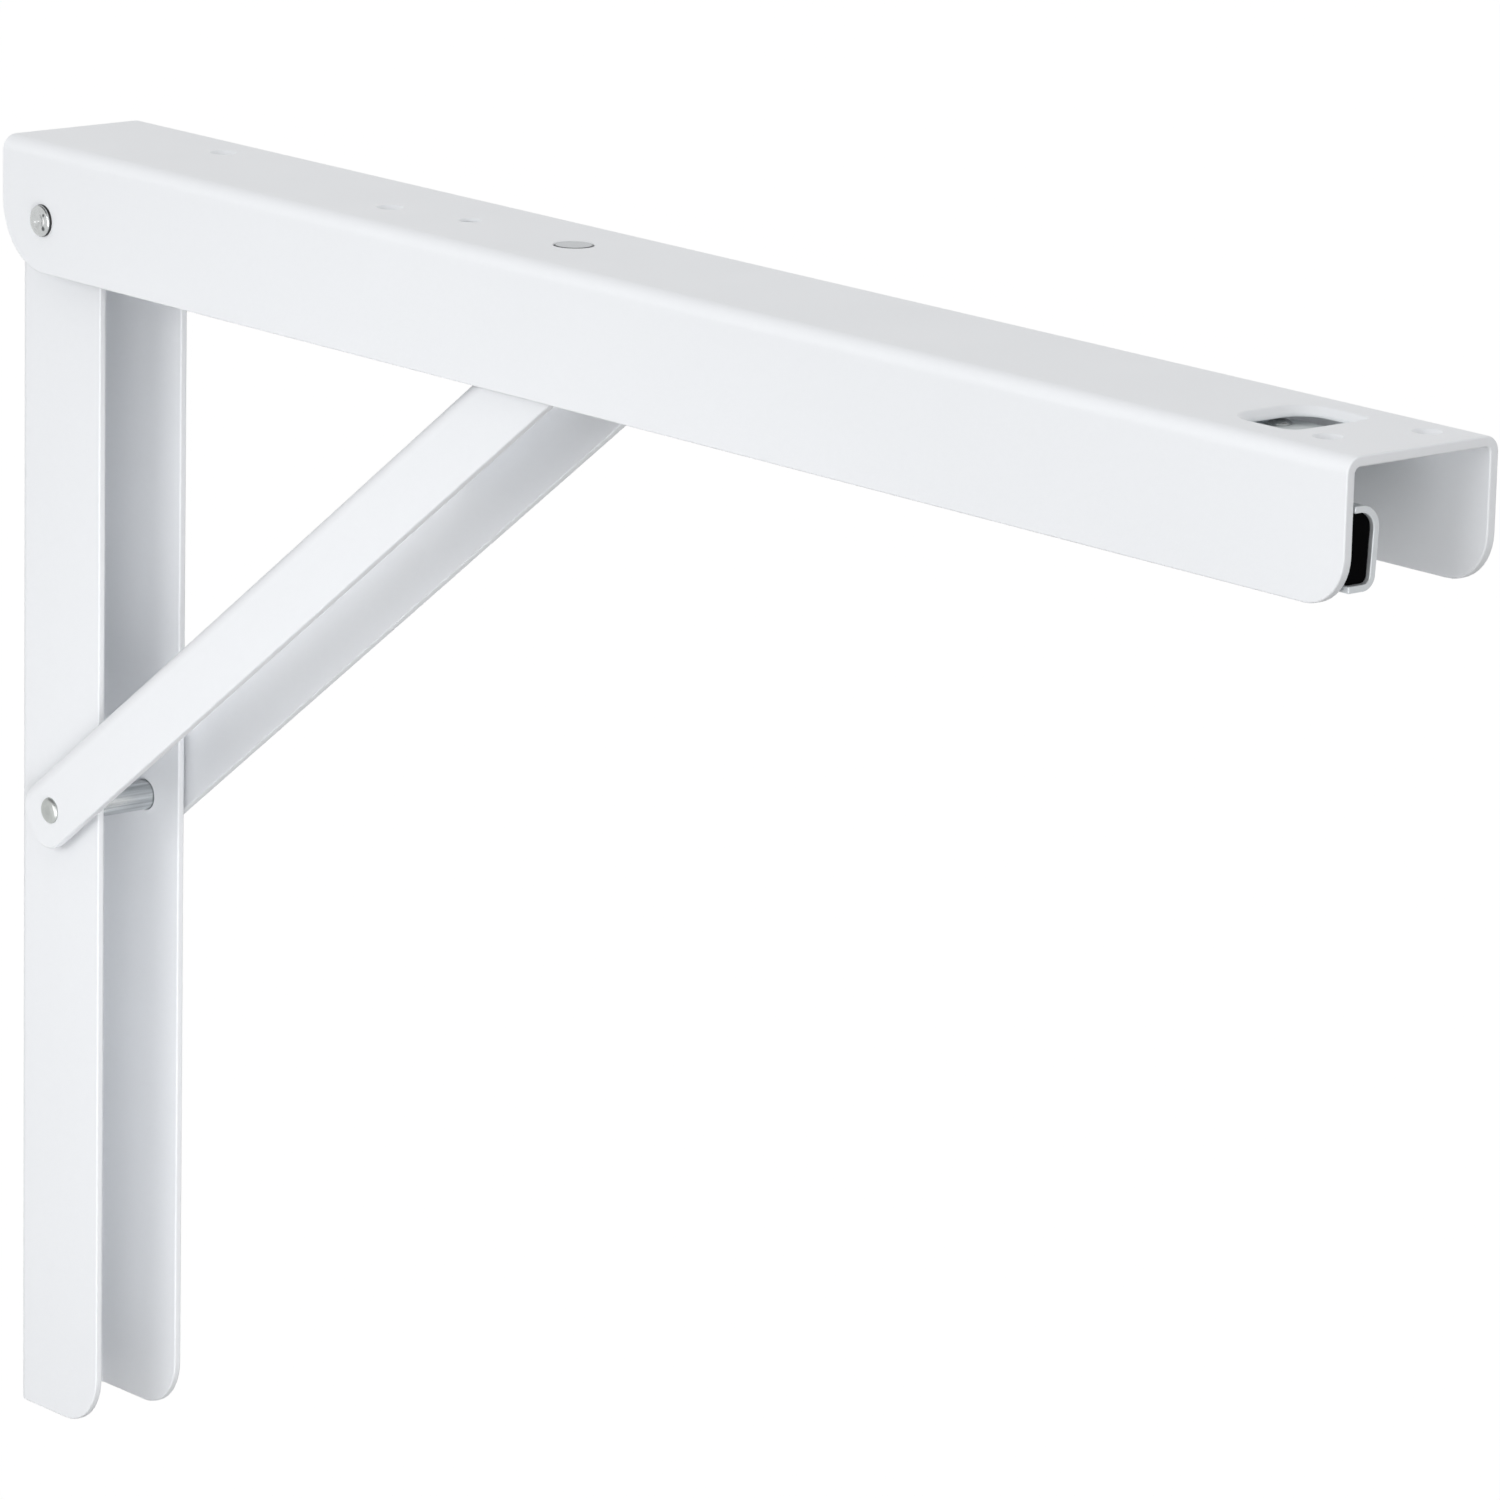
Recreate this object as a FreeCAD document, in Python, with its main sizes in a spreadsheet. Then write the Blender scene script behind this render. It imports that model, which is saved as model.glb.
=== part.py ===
import FreeCAD, Part
import math
import os
import Sketcher
from types import SimpleNamespace

# Drop leaf table bracket: a wall leg, a fold-down arm and a strut, with a sliding
# latch and a release lever under the arm.
# X runs out from the wall, Y across the bracket, Z up. The origin is the middle screw
# hole of the leg on the wall face. Drops are measured from the arm's top face. Lengths in mm.

doc = FreeCAD.newDocument("drop_leaf_table_bracket")

DRIVING = dict(
    # hinge line of the arm, from the wall face and below the arm's top face
    hinge_reach=23.0,
    hinge_drop=20.0,
    # arm channel, open downward
    arm_length=500.0,
    arm_width=46.0,
    arm_flange=34.0,
    arm_sheet=2.5,
    arm_bend=4.0,
    arm_overhang=18.0,
    arm_rear_corner=17.9,
    arm_tip_corner=12.0,
    # holes in the arm's web: run from the hinge line, back from the stop or the tip
    screw_radius=2.2,
    screw_countersink=1.2,
    front_screw_a_run=35.5,
    front_screw_a_side=8.5,
    front_screw_b_back=66.0,
    front_screw_b_side=-5.3,
    tip_screw_a_back=19.4,
    tip_screw_a_side=-10.2,
    tip_screw_b_back=11.2,
    tip_screw_b_side=11.9,
    pilot_back=40.7,
    pilot_radius=2.4,
    pilot_countersink=0.5,
    # window in the arm's web with a coined bevel round its top
    window_back=39.0,
    window_half_length=9.6,
    window_half_width=11.3,
    window_back_corner=6.7,
    window_front_corner=2.0,
    bevel_flare=1.3,
    bevel_depth=1.6,
    # flush rivet behind the slider and its bumper ring
    stop_gap=0.5,
    stop_head_radius=4.7,
    stop_seam=0.3,
    stop_head_depth=1.2,
    stop_neck_radius=3.2,
    stop_shank_radius=4.0,
    stop_shank_drop=10.5,
    bumper_radius=7.4,
    bumper_round=1.0,
    bumper_gap=0.5,
    # guide rail under the web
    rail_gap=0.2,
    rail_end_back=56.8,
    rail_half=11.0,
    rail_depth=8.0,
    rail_sheet=1.5,
    rail_slot_half=5.0,
    # wall leg, open away from the wall
    leg_width=28.0,
    leg_depth=36.0,
    leg_sheet=2.0,
    leg_bend=3.5,
    leg_top_drop=5.0,
    leg_length=342.0,
    leg_top_corner=9.0,
    leg_foot_corner=14.0,
    wall_hole_radius=2.75,
    leg_back_corner=3.0,
    wall_hole_top=55.0,
    wall_hole_bottom=27.0,
    # hinge pin, bushes and spacer tubes
    hinge_pin_radius=3.0,
    hinge_head_radius=4.1,
    hinge_head_height=0.8,
    hinge_head_round=0.5,
    hinge_dimple_radius=2.3,
    hinge_dimple_floor=1.1,
    hinge_dimple_depth=0.6,
    bush_radius=3.7,
    bush_flange_radius=4.2,
    bush_flange=0.5,
    hinge_spacer_radius=6.0,
    running_fit=0.06,
    end_play=0.15,
    # strut channel, open away from the wall
    strut_span=261.0,
    strut_pin_reach=21.0,
    strut_pin_drop=178.3,
    top_pin_drop=22.0,
    strut_side_gap=1.8,
    strut_sheet=2.5,
    strut_bend=4.0,
    strut_web_rise=10.4,
    strut_edge_drop=9.0,
    strut_foot_overhang=11.0,
    strut_foot_corner=8.0,
    strut_head_overhang=9.7,
    strut_head_corner=9.0,
    strut_lip=4.1,
    head_cut_back=36.0,
    web_strip=53.0,
    cut_corner=5.0,
    # pins of the strut
    strut_pin_radius=3.9,
    strut_pin_fit=0.1,
    spigot_radius=3.0,
    strut_head_radius=3.5,
    strut_head_height=1.4,
    strut_head_round=1.1,
    strut_washer_radius=6.3,
    top_pin_radius=4.0,
    top_head_radius=4.2,
    top_head_height=1.2,
    top_head_round=0.8,
    top_sleeve_radius=5.5,
    top_sleeve_start=8.4,
    # slider: shoe in the rail, cradle round the top pin
    shoe_back=9.5,
    shoe_front=5.7,
    shoe_side_gap=0.3,
    shoe_top_gap=0.2,
    shoe_round=1.0,
    neck_side_gap=0.3,
    neck_below_rail=0.4,
    hook_half=8.0,
    hook_plate=1.6,
    hook_radius=6.5,
    hook_stem_back=6.0,
    hook_stem_front=1.2,
    mouth_reach=8.0,
    mouth_top_run=1.33,
    mouth_back_drop=5.33,
    slider_rivet_radius=1.1,
    slider_rivet_head=1.5,
    slider_rivet_cap=0.8,
    slider_rivet_depth=4.0,
    slider_rivet_back=7.9,
    slider_rivet_front=3.5,
    # release lever: a flat bar under the web beside the rail
    lever_drop=4.4,
    lever_sheet=2.0,
    lever_nose_gap=0.5,
    lever_nose_length=4.0,
    lever_nose_side=9.7,
    lever_inner_side=11.4,
    lever_outer_side=15.5,
    lever_joggle=3.1,
    lever_joggle_run=6.0,
    lever_plate_back=54.5,
    lever_plate_side=12.9,
    lever_plate_corner=3.6,
    lever_tip_back=26.0,
    lever_tab_back=42.0,
    lever_tab_side=12.2,
    lever_tab_drop=28.0,
    lever_tab_corner=4.0,
    lever_bend=1.9,
    pivot_back=144.0,
    eye_radius=4.0,
    stud_radius=2.0,
    stud_drop=11.0,
    stud_groove=0.5,
    lever_washer_radius=3.4,
    clip_radius=3.6,
    clip_sheet=0.6,
    clip_drop=9.9,
    spring_radius=3.2,
    spring_wire_radius=0.4,
    spring_top_drop=7.0,
    spring_pitch=0.9,
    spring_turns=2.75,
    spring_arm=11.5,
    spring_lean=11.2,
    spring_hook=2.0,
    post_back=51.0,
    post_side=5.8,
    post_radius=2.75,
    post_height=1.0,
    post_rim=0.05,
    post_shank_radius=1.5,
    # grip at the lever's tip
    grip_length=34.0,
    grip_lean=1.2,
    grip_outer_side=20.0,
    grip_top_drop=11.0,
    grip_bottom_drop=30.6,
    grip_sheet=1.7,
    grip_top_bend=6.0,
    grip_bottom_bend=3.3,
    liner_recess=1.0,
    liner_side_recess=0.2,
    grip_rivet_radius=1.6,
    grip_rivet_head=2.8,
    grip_rivet_cap=1.2,
    grip_rivet_rim=0.3,
    grip_rivet_drop=19.0,
    grip_rivet_back=30.0,
    grip_rivet_pitch=6.5,
)

sheet = doc.addObject("Spreadsheet::Sheet", "sizes")
for row, (alias, number) in enumerate(DRIVING.items(), start=1):
    sheet.set(f"A{row}", alias)
    sheet.set(f"B{row}", str(number))
    sheet.setAlias(f"B{row}", alias)
doc.recompute()


class Size:
    """A length held as a number and as the spreadsheet expression it comes from."""

    def __init__(self, value, text=None):
        self.value = float(value)
        self.text = text if text is not None else repr(float(value))

    def joined(self, other, sign, value):
        return Size(value, f"({self.text} {sign} {other.text})")

    def __add__(self, other):
        other = as_size(other)
        return self.joined(other, "+", self.value + other.value)

    def __sub__(self, other):
        other = as_size(other)
        return self.joined(other, "-", self.value - other.value)

    def __mul__(self, other):
        other = as_size(other)
        return self.joined(other, "*", self.value * other.value)

    def __truediv__(self, other):
        other = as_size(other)
        return self.joined(other, "/", self.value / other.value)

    def __neg__(self):
        return Size(-self.value, f"(-1 * {self.text})")


def as_size(number):
    return number if isinstance(number, Size) else Size(number)


def root(size):
    return Size(math.sqrt(size.value), f"sqrt({size.text})")


s = SimpleNamespace(**{name: Size(number, f"<<sizes>>.{name}") for name, number in DRIVING.items()})
ZERO = Size(0)
MARGIN = Size(1)
NEAR = -1
FAR = 1

# Derived sizes shared by several pieces
arm_half = s.arm_width / 2
arm_inner = arm_half - s.arm_sheet
leg_half = s.leg_width / 2
strut_half = arm_inner - s.strut_side_gap
strut_inner = strut_half - s.strut_sheet
pin_rise = s.strut_pin_drop - s.top_pin_drop
pin_run = root(s.strut_span * s.strut_span - pin_rise * pin_rise)
slider_run = s.strut_pin_reach + pin_run - s.hinge_reach
arm_tip = s.arm_length - s.arm_overhang
stop_run = slider_run - s.shoe_back - s.stop_gap - s.bumper_radius
window_run = arm_tip - s.window_back
pivot_run = arm_tip - s.pivot_back
wall_hole_drop = s.leg_top_drop + s.wall_hole_top
wall_hole_pitch = (s.leg_length - s.wall_hole_top - s.wall_hole_bottom) / 2
top_height = wall_hole_drop + wall_hole_pitch


def bind(thing, prop, size):
    """Ties one property of an object to the spreadsheet."""
    thing.setExpression(prop, size.text)


def put(thing, reach, side, drop):
    """Places an object by its reach from the wall, its side and its drop below the arm's top."""
    places = {"x": reach, "y": side, "z": top_height - drop}
    thing.Placement.Base = FreeCAD.Vector(*(size.value for size in places.values()))
    for axis, size in places.items():
        bind(thing, f"Placement.Base.{axis}", size)


def new_body(name, reach=ZERO, drop=ZERO):
    """A body with its own label, placed in the middle plane."""
    body = doc.addObject("PartDesign::Body", name)
    body.Label = name
    put(body, reach, ZERO, drop)
    return body


def arm_body(name, run=ZERO, side=ZERO):
    """A body on the arm's top face, placed by its run from the hinge line."""
    body = new_body(name)
    put(body, s.hinge_reach + run, side, ZERO)
    return body


def strut_body(name, along=ZERO):
    """A body on the strut's pin line with X along the strut and Z square to its web."""
    body = new_body(name)
    reach = s.strut_pin_reach + along * pin_run / s.strut_span
    drop = s.strut_pin_drop - along * pin_rise / s.strut_span
    put(body, reach, ZERO, drop)
    angle = math.degrees(math.asin(pin_rise.value / s.strut_span.value))
    body.Placement.Rotation = FreeCAD.Rotation(FreeCAD.Vector(0, -1, 0), angle)
    body.setExpression("Placement.Rotation.Angle", f"asin({(pin_rise / s.strut_span).text})")
    return body


def new_sketch(body, plane, offset=None):
    """A sketch on one of the body's origin planes, moved along the plane's normal."""
    sketch = body.newObject("Sketcher::SketchObject", body.Label + "_sketch")
    origin_plane = [f for f in body.Origin.OriginFeatures if f.Role == plane][0]
    sketch.AttachmentSupport = [(origin_plane, "")]
    sketch.MapMode = "FlatFace"
    if offset is not None:
        sketch.AttachmentOffset = FreeCAD.Placement(
            FreeCAD.Vector(0, 0, offset.value), FreeCAD.Rotation())
        bind(sketch, "AttachmentOffset.Base.z", offset)
    return sketch


def fix_point(sketch, geometry, corner, u, v):
    """Ties a sketch point to the sketch origin in both directions."""
    for kind, size, axis in (("DistanceX", u, -2), ("DistanceY", v, -1)):
        if size is ZERO:
            sketch.addConstraint(Sketcher.Constraint("PointOnObject", geometry, corner, axis))
        else:
            index = sketch.addConstraint(
                Sketcher.Constraint(kind, -1, 1, geometry, corner, size.value))
            bind(sketch, f"Constraints[{index}]", size)


def add_outline(sketch, corners):
    """A closed run of straight lines through the given corners."""
    first = sketch.GeometryCount
    points = [FreeCAD.Vector(u.value, v.value, 0) for u, v in corners]
    count = len(points)
    for i in range(count):
        sketch.addGeometry(Part.LineSegment(points[i], points[(i + 1) % count]))
    for i in range(count):
        following = first + (i + 1) % count
        sketch.addConstraint(Sketcher.Constraint("Coincident", first + i, 2, following, 1))
    for i, (u, v) in enumerate(corners):
        fix_point(sketch, first + i, 1, u, v)


def add_circle(sketch, u, v, radius):
    index = sketch.addGeometry(Part.Circle(
        FreeCAD.Vector(u.value, v.value, 0), FreeCAD.Vector(0, 0, 1), radius.value))
    fix_point(sketch, index, 3, u, v)
    number = sketch.addConstraint(Sketcher.Constraint("Radius", index, radius.value))
    bind(sketch, f"Constraints[{number}]", radius)


def add_window(sketch, u, half_u, half_v, back_corner, front_corner):
    """A rectangle with round corners: four arcs joined by four tangent lines."""
    turns = ((1, 1), (-1, 1), (-1, -1), (1, -1))
    arcs = []
    for quarter, (su, sv) in enumerate(turns):
        corner = front_corner if su > 0 else back_corner
        centre_u = u + (half_u - corner) * su
        centre_v = (half_v - corner) * sv
        circle = Part.Circle(
            FreeCAD.Vector(centre_u.value, centre_v.value, 0), FreeCAD.Vector(0, 0, 1), corner.value)
        start = quarter * math.pi / 2
        arc = sketch.addGeometry(Part.ArcOfCircle(circle, start, start + math.pi / 2))
        arcs.append((arc, centre_u, centre_v, corner))
    for quarter in range(4):
        arc = arcs[quarter][0]
        following = arcs[(quarter + 1) % 4][0]
        line = sketch.addGeometry(Part.LineSegment(
            sketch.getPoint(arc, 2), sketch.getPoint(following, 1)))
        sketch.addConstraint(Sketcher.Constraint("Tangent", arc, 2, line, 1))
        sketch.addConstraint(Sketcher.Constraint("Tangent", line, 2, following, 1))
    for arc, centre_u, centre_v, corner in arcs:
        fix_point(sketch, arc, 3, centre_u, centre_v)
        number = sketch.addConstraint(Sketcher.Constraint("Radius", arc, corner.value))
        bind(sketch, f"Constraints[{number}]", corner)


def pad(body, sketch, length, symmetric=False, flip=False, apart=False, taper=None):
    """Adds along the plane's normal, or against it; apart lets one pad make loose solids."""
    feature = body.newObject("PartDesign::Pad", body.Label + "_pad")
    if apart:
        body.AllowCompound = True
        feature.AllowMultiFace = True
    feature.Profile = sketch
    feature.Reversed = flip
    feature.Length = length.value
    bind(feature, "Length", length)
    if symmetric:
        feature.SideType = "Symmetric"
    if taper is not None:
        feature.TaperAngle = taper.value
        bind(feature, "TaperAngle", taper)
    doc.recompute()
    return feature


def pocket(body, sketch, depth, symmetric=False, flip=False, taper=None):
    """Cuts against the plane's normal, or along it when flipped."""
    feature = body.newObject("PartDesign::Pocket", body.Label + "_pocket")
    before = feature.BaseFeature.Shape.Volume
    feature.Profile = sketch
    feature.Reversed = flip
    feature.Length = depth.value
    bind(feature, "Length", depth)
    if symmetric:
        feature.SideType = "Symmetric"
    if taper is not None:
        feature.TaperAngle = taper.value
        bind(feature, "TaperAngle", taper)
    doc.recompute()
    if not feature.Shape.Volume < before:
        raise RuntimeError(f"the pocket {feature.Name} removes nothing")
    return feature


def turn(body, sketch):
    """Turns a half section round the sketch's vertical axis."""
    feature = body.newObject("PartDesign::Revolution", body.Label + "_turn")
    feature.Profile = sketch
    feature.ReferenceAxis = (sketch, ["V_Axis"])
    feature.Angle = 360.0
    doc.recompute()
    return feature


def close_to(a, b):
    return abs(a - b) < 0.01


def straight_edges(feature, axis, x=None, y=None, z=None):
    """Names of the straight edges along one axis whose middle lies at the given place."""
    names = []
    wanted = {"x": x, "y": y, "z": z}
    for number, edge in enumerate(feature.Shape.Edges, start=1):
        if not isinstance(edge.Curve, Part.Line):
            continue
        if abs(abs(getattr(edge.Curve.Direction, axis)) - 1) > 1e-6:
            continue
        middle = edge.CenterOfMass
        if all(size is None or close_to(getattr(middle, key), size.value)
               for key, size in wanted.items()):
            names.append(f"Edge{number}")
    return names


def round_edges(feature, axis, height, radius):
    """Names of the circles square to one axis, at one height and with one radius."""
    names = []
    for number, edge in enumerate(feature.Shape.Edges, start=1):
        curve = edge.Curve
        if not isinstance(curve, Part.Circle):
            continue
        if close_to(getattr(curve.Center, axis), height.value) and close_to(curve.Radius, radius.value):
            if abs(abs(getattr(curve.Axis, axis)) - 1) < 1e-6:
                names.append(f"Edge{number}")
    return names


def dress(body, kind, prop, feature, edges, size):
    if not edges:
        raise RuntimeError(f"no edge found on {body.Label}")
    dressed = body.newObject("PartDesign::" + kind, body.Label + "_" + kind.lower())
    dressed.Base = (feature, edges)
    setattr(dressed, prop, size.value)
    bind(dressed, prop, size)
    doc.recompute()
    return dressed


def fillet(body, feature, edges, radius):
    return dress(body, "Fillet", "Radius", feature, edges, radius)


def chamfer(body, feature, edges, size):
    return dress(body, "Chamfer", "Size", feature, edges, size)


def ring(body, side, inner, outer, start, end):
    """A ring round the body's Y axis between two distances from the middle plane."""
    sketch = new_sketch(body, "XY_Plane")
    add_outline(sketch, [
        (inner, start * side), (outer, start * side), (outer, end * side), (inner, end * side)])
    return turn(body, sketch)


def add_corner_cut(sketch, edge_u, edge_v, outward_u, outward_v, corner):
    """The area between an arc in a corner and a square margin outside the corner."""
    centre_u = edge_u - corner * outward_u
    centre_v = edge_v - corner * outward_v
    far_u = edge_u + MARGIN * outward_u
    far_v = edge_v + MARGIN * outward_v
    turns = {(1, 1): 0, (-1, 1): 1, (-1, -1): 2, (1, -1): 3}
    start = turns[(outward_u, outward_v)] * math.pi / 2
    circle = Part.Circle(
        FreeCAD.Vector(centre_u.value, centre_v.value, 0), FreeCAD.Vector(0, 0, 1), corner.value)
    arc = sketch.addGeometry(Part.ArcOfCircle(circle, start, start + math.pi / 2))
    beside = [(edge_u, centre_v), (far_u, centre_v)]
    above = [(centre_u, edge_v), (centre_u, far_v)]
    if outward_u * outward_v > 0:
        chain = above + [(far_u, far_v)] + beside[::-1]
    else:
        chain = beside + [(far_u, far_v)] + above[::-1]
    lines = []
    for (u1, v1), (u2, v2) in zip(chain[:-1], chain[1:]):
        lines.append(sketch.addGeometry(Part.LineSegment(
            FreeCAD.Vector(u1.value, v1.value, 0), FreeCAD.Vector(u2.value, v2.value, 0))))
    sketch.addConstraint(Sketcher.Constraint("Coincident", arc, 2, lines[0], 1))
    for earlier, later in zip(lines[:-1], lines[1:]):
        sketch.addConstraint(Sketcher.Constraint("Coincident", earlier, 2, later, 1))
    sketch.addConstraint(Sketcher.Constraint("Coincident", lines[-1], 2, arc, 1))
    for line, (u, v) in zip(lines, chain[:-1]):
        fix_point(sketch, line, 1, u, v)
    fix_point(sketch, lines[-1], 2, *chain[-1])
    number = sketch.addConstraint(Sketcher.Constraint("Radius", arc, corner.value))
    bind(sketch, f"Constraints[{number}]", corner)


# Wall leg: a folded sheet channel with its web on the wall and its corners rounded at both ends.

wall_leg = new_body("wall_leg")
leg_bottom = s.leg_top_drop + s.leg_length
sketch = new_sketch(wall_leg, "XY_Plane", -leg_bottom)
add_outline(sketch, [
    (ZERO, -leg_half),
    (s.leg_depth, -leg_half),
    (s.leg_depth, s.leg_sheet - leg_half),
    (s.leg_sheet, s.leg_sheet - leg_half),
    (s.leg_sheet, leg_half - s.leg_sheet),
    (s.leg_depth, leg_half - s.leg_sheet),
    (s.leg_depth, leg_half),
    (ZERO, leg_half)])
leg = pad(wall_leg, sketch, s.leg_length)
leg = fillet(wall_leg, leg, straight_edges(leg, "y", x=s.leg_depth, z=-s.leg_top_drop), s.leg_top_corner)
leg = fillet(wall_leg, leg, straight_edges(leg, "y", x=s.leg_depth, z=-leg_bottom), s.leg_foot_corner)
leg = fillet(wall_leg, leg, straight_edges(leg, "z", x=ZERO), s.leg_bend)
fillet(wall_leg, leg, straight_edges(leg, "z", x=s.leg_sheet), s.leg_bend - s.leg_sheet)
sketch = new_sketch(wall_leg, "XZ_Plane")
add_corner_cut(sketch, ZERO, -leg_bottom, -1, -1, s.leg_back_corner)
pocket(wall_leg, sketch, s.leg_width, symmetric=True)
sketch = new_sketch(wall_leg, "XZ_Plane")
add_circle(sketch, s.hinge_reach, -s.hinge_drop, s.hinge_pin_radius)
add_circle(sketch, s.strut_pin_reach, -s.strut_pin_drop, s.strut_pin_radius + s.strut_pin_fit)
pocket(wall_leg, sketch, s.leg_width, symmetric=True)
sketch = new_sketch(wall_leg, "YZ_Plane", s.leg_sheet)
for number in range(3):
    drop = wall_hole_drop + wall_hole_pitch * number
    add_circle(sketch, ZERO, -drop, s.wall_hole_radius)
pocket(wall_leg, sketch, s.leg_sheet)


# Hinge: the pin is riveted over the bushes; the tubes keep the leg in the middle of the arm.

hinge_pin = new_body("hinge_pin", s.hinge_reach, s.hinge_drop)
head_start = arm_half + s.bush_flange + s.end_play
head_end = head_start + s.hinge_head_height
dimple_floor = head_end - s.hinge_dimple_depth
sketch = new_sketch(hinge_pin, "XY_Plane")
add_outline(sketch, [
    (ZERO, -dimple_floor),
    (s.hinge_dimple_floor, -dimple_floor),
    (s.hinge_dimple_radius, -head_end),
    (s.hinge_head_radius, -head_end),
    (s.hinge_head_radius, -head_start),
    (s.hinge_pin_radius, -head_start),
    (s.hinge_pin_radius, head_start),
    (s.hinge_head_radius, head_start),
    (s.hinge_head_radius, head_end),
    (s.hinge_dimple_radius, head_end),
    (s.hinge_dimple_floor, dimple_floor),
    (ZERO, dimple_floor)])
pin = turn(hinge_pin, sketch)
rims = [name for side in (NEAR, FAR)
        for name in round_edges(pin, "y", head_end * side, s.hinge_head_radius)]
fillet(hinge_pin, pin, rims, s.hinge_head_round)

for side, word in ((NEAR, "near"), (FAR, "far")):
    spacer = new_body(f"hinge_spacer_{word}", s.hinge_reach, s.hinge_drop)
    ring(spacer, side, s.hinge_pin_radius, s.hinge_spacer_radius, leg_half, arm_inner - s.end_play)

    bush = new_body(f"hinge_bush_{word}", s.hinge_reach, s.hinge_drop)
    bore = s.hinge_pin_radius + s.running_fit
    flange_end = arm_half + s.bush_flange
    sketch = new_sketch(bush, "XY_Plane")
    add_outline(sketch, [
        (bore, arm_inner * side),
        (s.bush_radius, arm_inner * side),
        (s.bush_radius, arm_half * side),
        (s.bush_flange_radius, arm_half * side),
        (s.bush_flange_radius, flange_end * side),
        (bore, flange_end * side)])
    turn(bush, sketch)


# Arm: a folded sheet channel, web on top, with countersunk screw holes and a window near its tip.

arm_channel = arm_body("arm_channel")
sketch = new_sketch(arm_channel, "YZ_Plane", -s.arm_overhang)
add_outline(sketch, [
    (-arm_half, ZERO),
    (arm_half, ZERO),
    (arm_half, -s.arm_flange),
    (arm_inner, -s.arm_flange),
    (arm_inner, -s.arm_sheet),
    (-arm_inner, -s.arm_sheet),
    (-arm_inner, -s.arm_flange),
    (-arm_half, -s.arm_flange)])
arm = pad(arm_channel, sketch, s.arm_length)
rear_edges = straight_edges(arm, "y", x=-s.arm_overhang, z=-s.arm_flange)
arm = fillet(arm_channel, arm, rear_edges, s.arm_rear_corner)
arm = fillet(arm_channel, arm, straight_edges(arm, "y", x=arm_tip, z=-s.arm_flange), s.arm_tip_corner)
arm = fillet(arm_channel, arm, straight_edges(arm, "x", z=ZERO), s.arm_bend)
fillet(arm_channel, arm, straight_edges(arm, "x", z=-s.arm_sheet), s.arm_bend - s.arm_sheet)

# Its window: a coined bevel in the web's top and an upright wall through the rest.
bevel_slope = Size(
    math.degrees(math.atan(s.bevel_flare.value / s.bevel_depth.value)),
    f"atan({(s.bevel_flare / s.bevel_depth).text})")
sketch = new_sketch(arm_channel, "XY_Plane")
add_window(sketch, window_run, s.window_half_length + s.bevel_flare, s.window_half_width + s.bevel_flare,
           s.window_back_corner + s.bevel_flare, s.window_front_corner + s.bevel_flare)
pocket(arm_channel, sketch, s.bevel_depth, taper=-bevel_slope)
sketch = new_sketch(arm_channel, "XY_Plane")
add_window(sketch, window_run, s.window_half_length, s.window_half_width,
           s.window_back_corner, s.window_front_corner)
pocket(arm_channel, sketch, s.arm_sheet)

sketch = new_sketch(arm_channel, "XY_Plane")
for run, side in (
        (s.front_screw_a_run, s.front_screw_a_side),
        (stop_run - s.front_screw_b_back, s.front_screw_b_side),
        (arm_tip - s.tip_screw_a_back, s.tip_screw_a_side),
        (arm_tip - s.tip_screw_b_back, s.tip_screw_b_side)):
    add_circle(sketch, run, side, s.screw_radius)
arm = pocket(arm_channel, sketch, s.arm_sheet)
chamfer(arm_channel, arm, round_edges(arm, "z", ZERO, s.screw_radius), s.screw_countersink)
sketch = new_sketch(arm_channel, "XY_Plane")
add_circle(sketch, stop_run - s.pilot_back, ZERO, s.pilot_radius)
add_circle(sketch, stop_run, ZERO, s.stop_neck_radius)
arm = pocket(arm_channel, sketch, s.arm_sheet)
chamfer(arm_channel, arm, round_edges(arm, "z", ZERO, s.pilot_radius), s.pilot_countersink)
sketch = new_sketch(arm_channel, "XY_Plane")
add_circle(sketch, stop_run, ZERO, s.stop_head_radius + s.stop_seam)
pocket(arm_channel, sketch, s.stop_head_depth)
sketch = new_sketch(arm_channel, "XZ_Plane")
add_circle(sketch, ZERO, -s.hinge_drop, s.bush_radius)
pocket(arm_channel, sketch, s.arm_width, symmetric=True)


# Stop: a rivet flush with the web; the slider rests against the ring on its shank.

stop_rivet = arm_body("stop_rivet", stop_run)
sketch = new_sketch(stop_rivet, "XZ_Plane")
add_outline(sketch, [
    (ZERO, ZERO),
    (s.stop_head_radius, ZERO),
    (s.stop_head_radius, -s.stop_head_depth),
    (s.stop_neck_radius, -s.stop_head_depth),
    (s.stop_neck_radius, -s.arm_sheet),
    (s.stop_shank_radius, -s.arm_sheet),
    (s.stop_shank_radius, -s.stop_shank_drop),
    (ZERO, -s.stop_shank_drop)])
turn(stop_rivet, sketch)

stop_bumper = arm_body("stop_bumper", stop_run)
bumper_top = -s.arm_sheet - s.bumper_gap
bumper_bottom = s.bumper_gap - s.stop_shank_drop
sketch = new_sketch(stop_bumper, "XZ_Plane")
add_outline(sketch, [
    (s.stop_shank_radius, bumper_top),
    (s.bumper_radius, bumper_top),
    (s.bumper_radius, bumper_bottom),
    (s.stop_shank_radius, bumper_bottom)])
bumper = turn(stop_bumper, sketch)
rims = [name for height in (bumper_top, bumper_bottom)
        for name in round_edges(bumper, "z", height, s.bumper_radius)]
fillet(stop_bumper, bumper, rims, s.bumper_round)


# Guide rail: C-shaped, welded under the web, with a gap in its near wall for the lever's nose.

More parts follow.
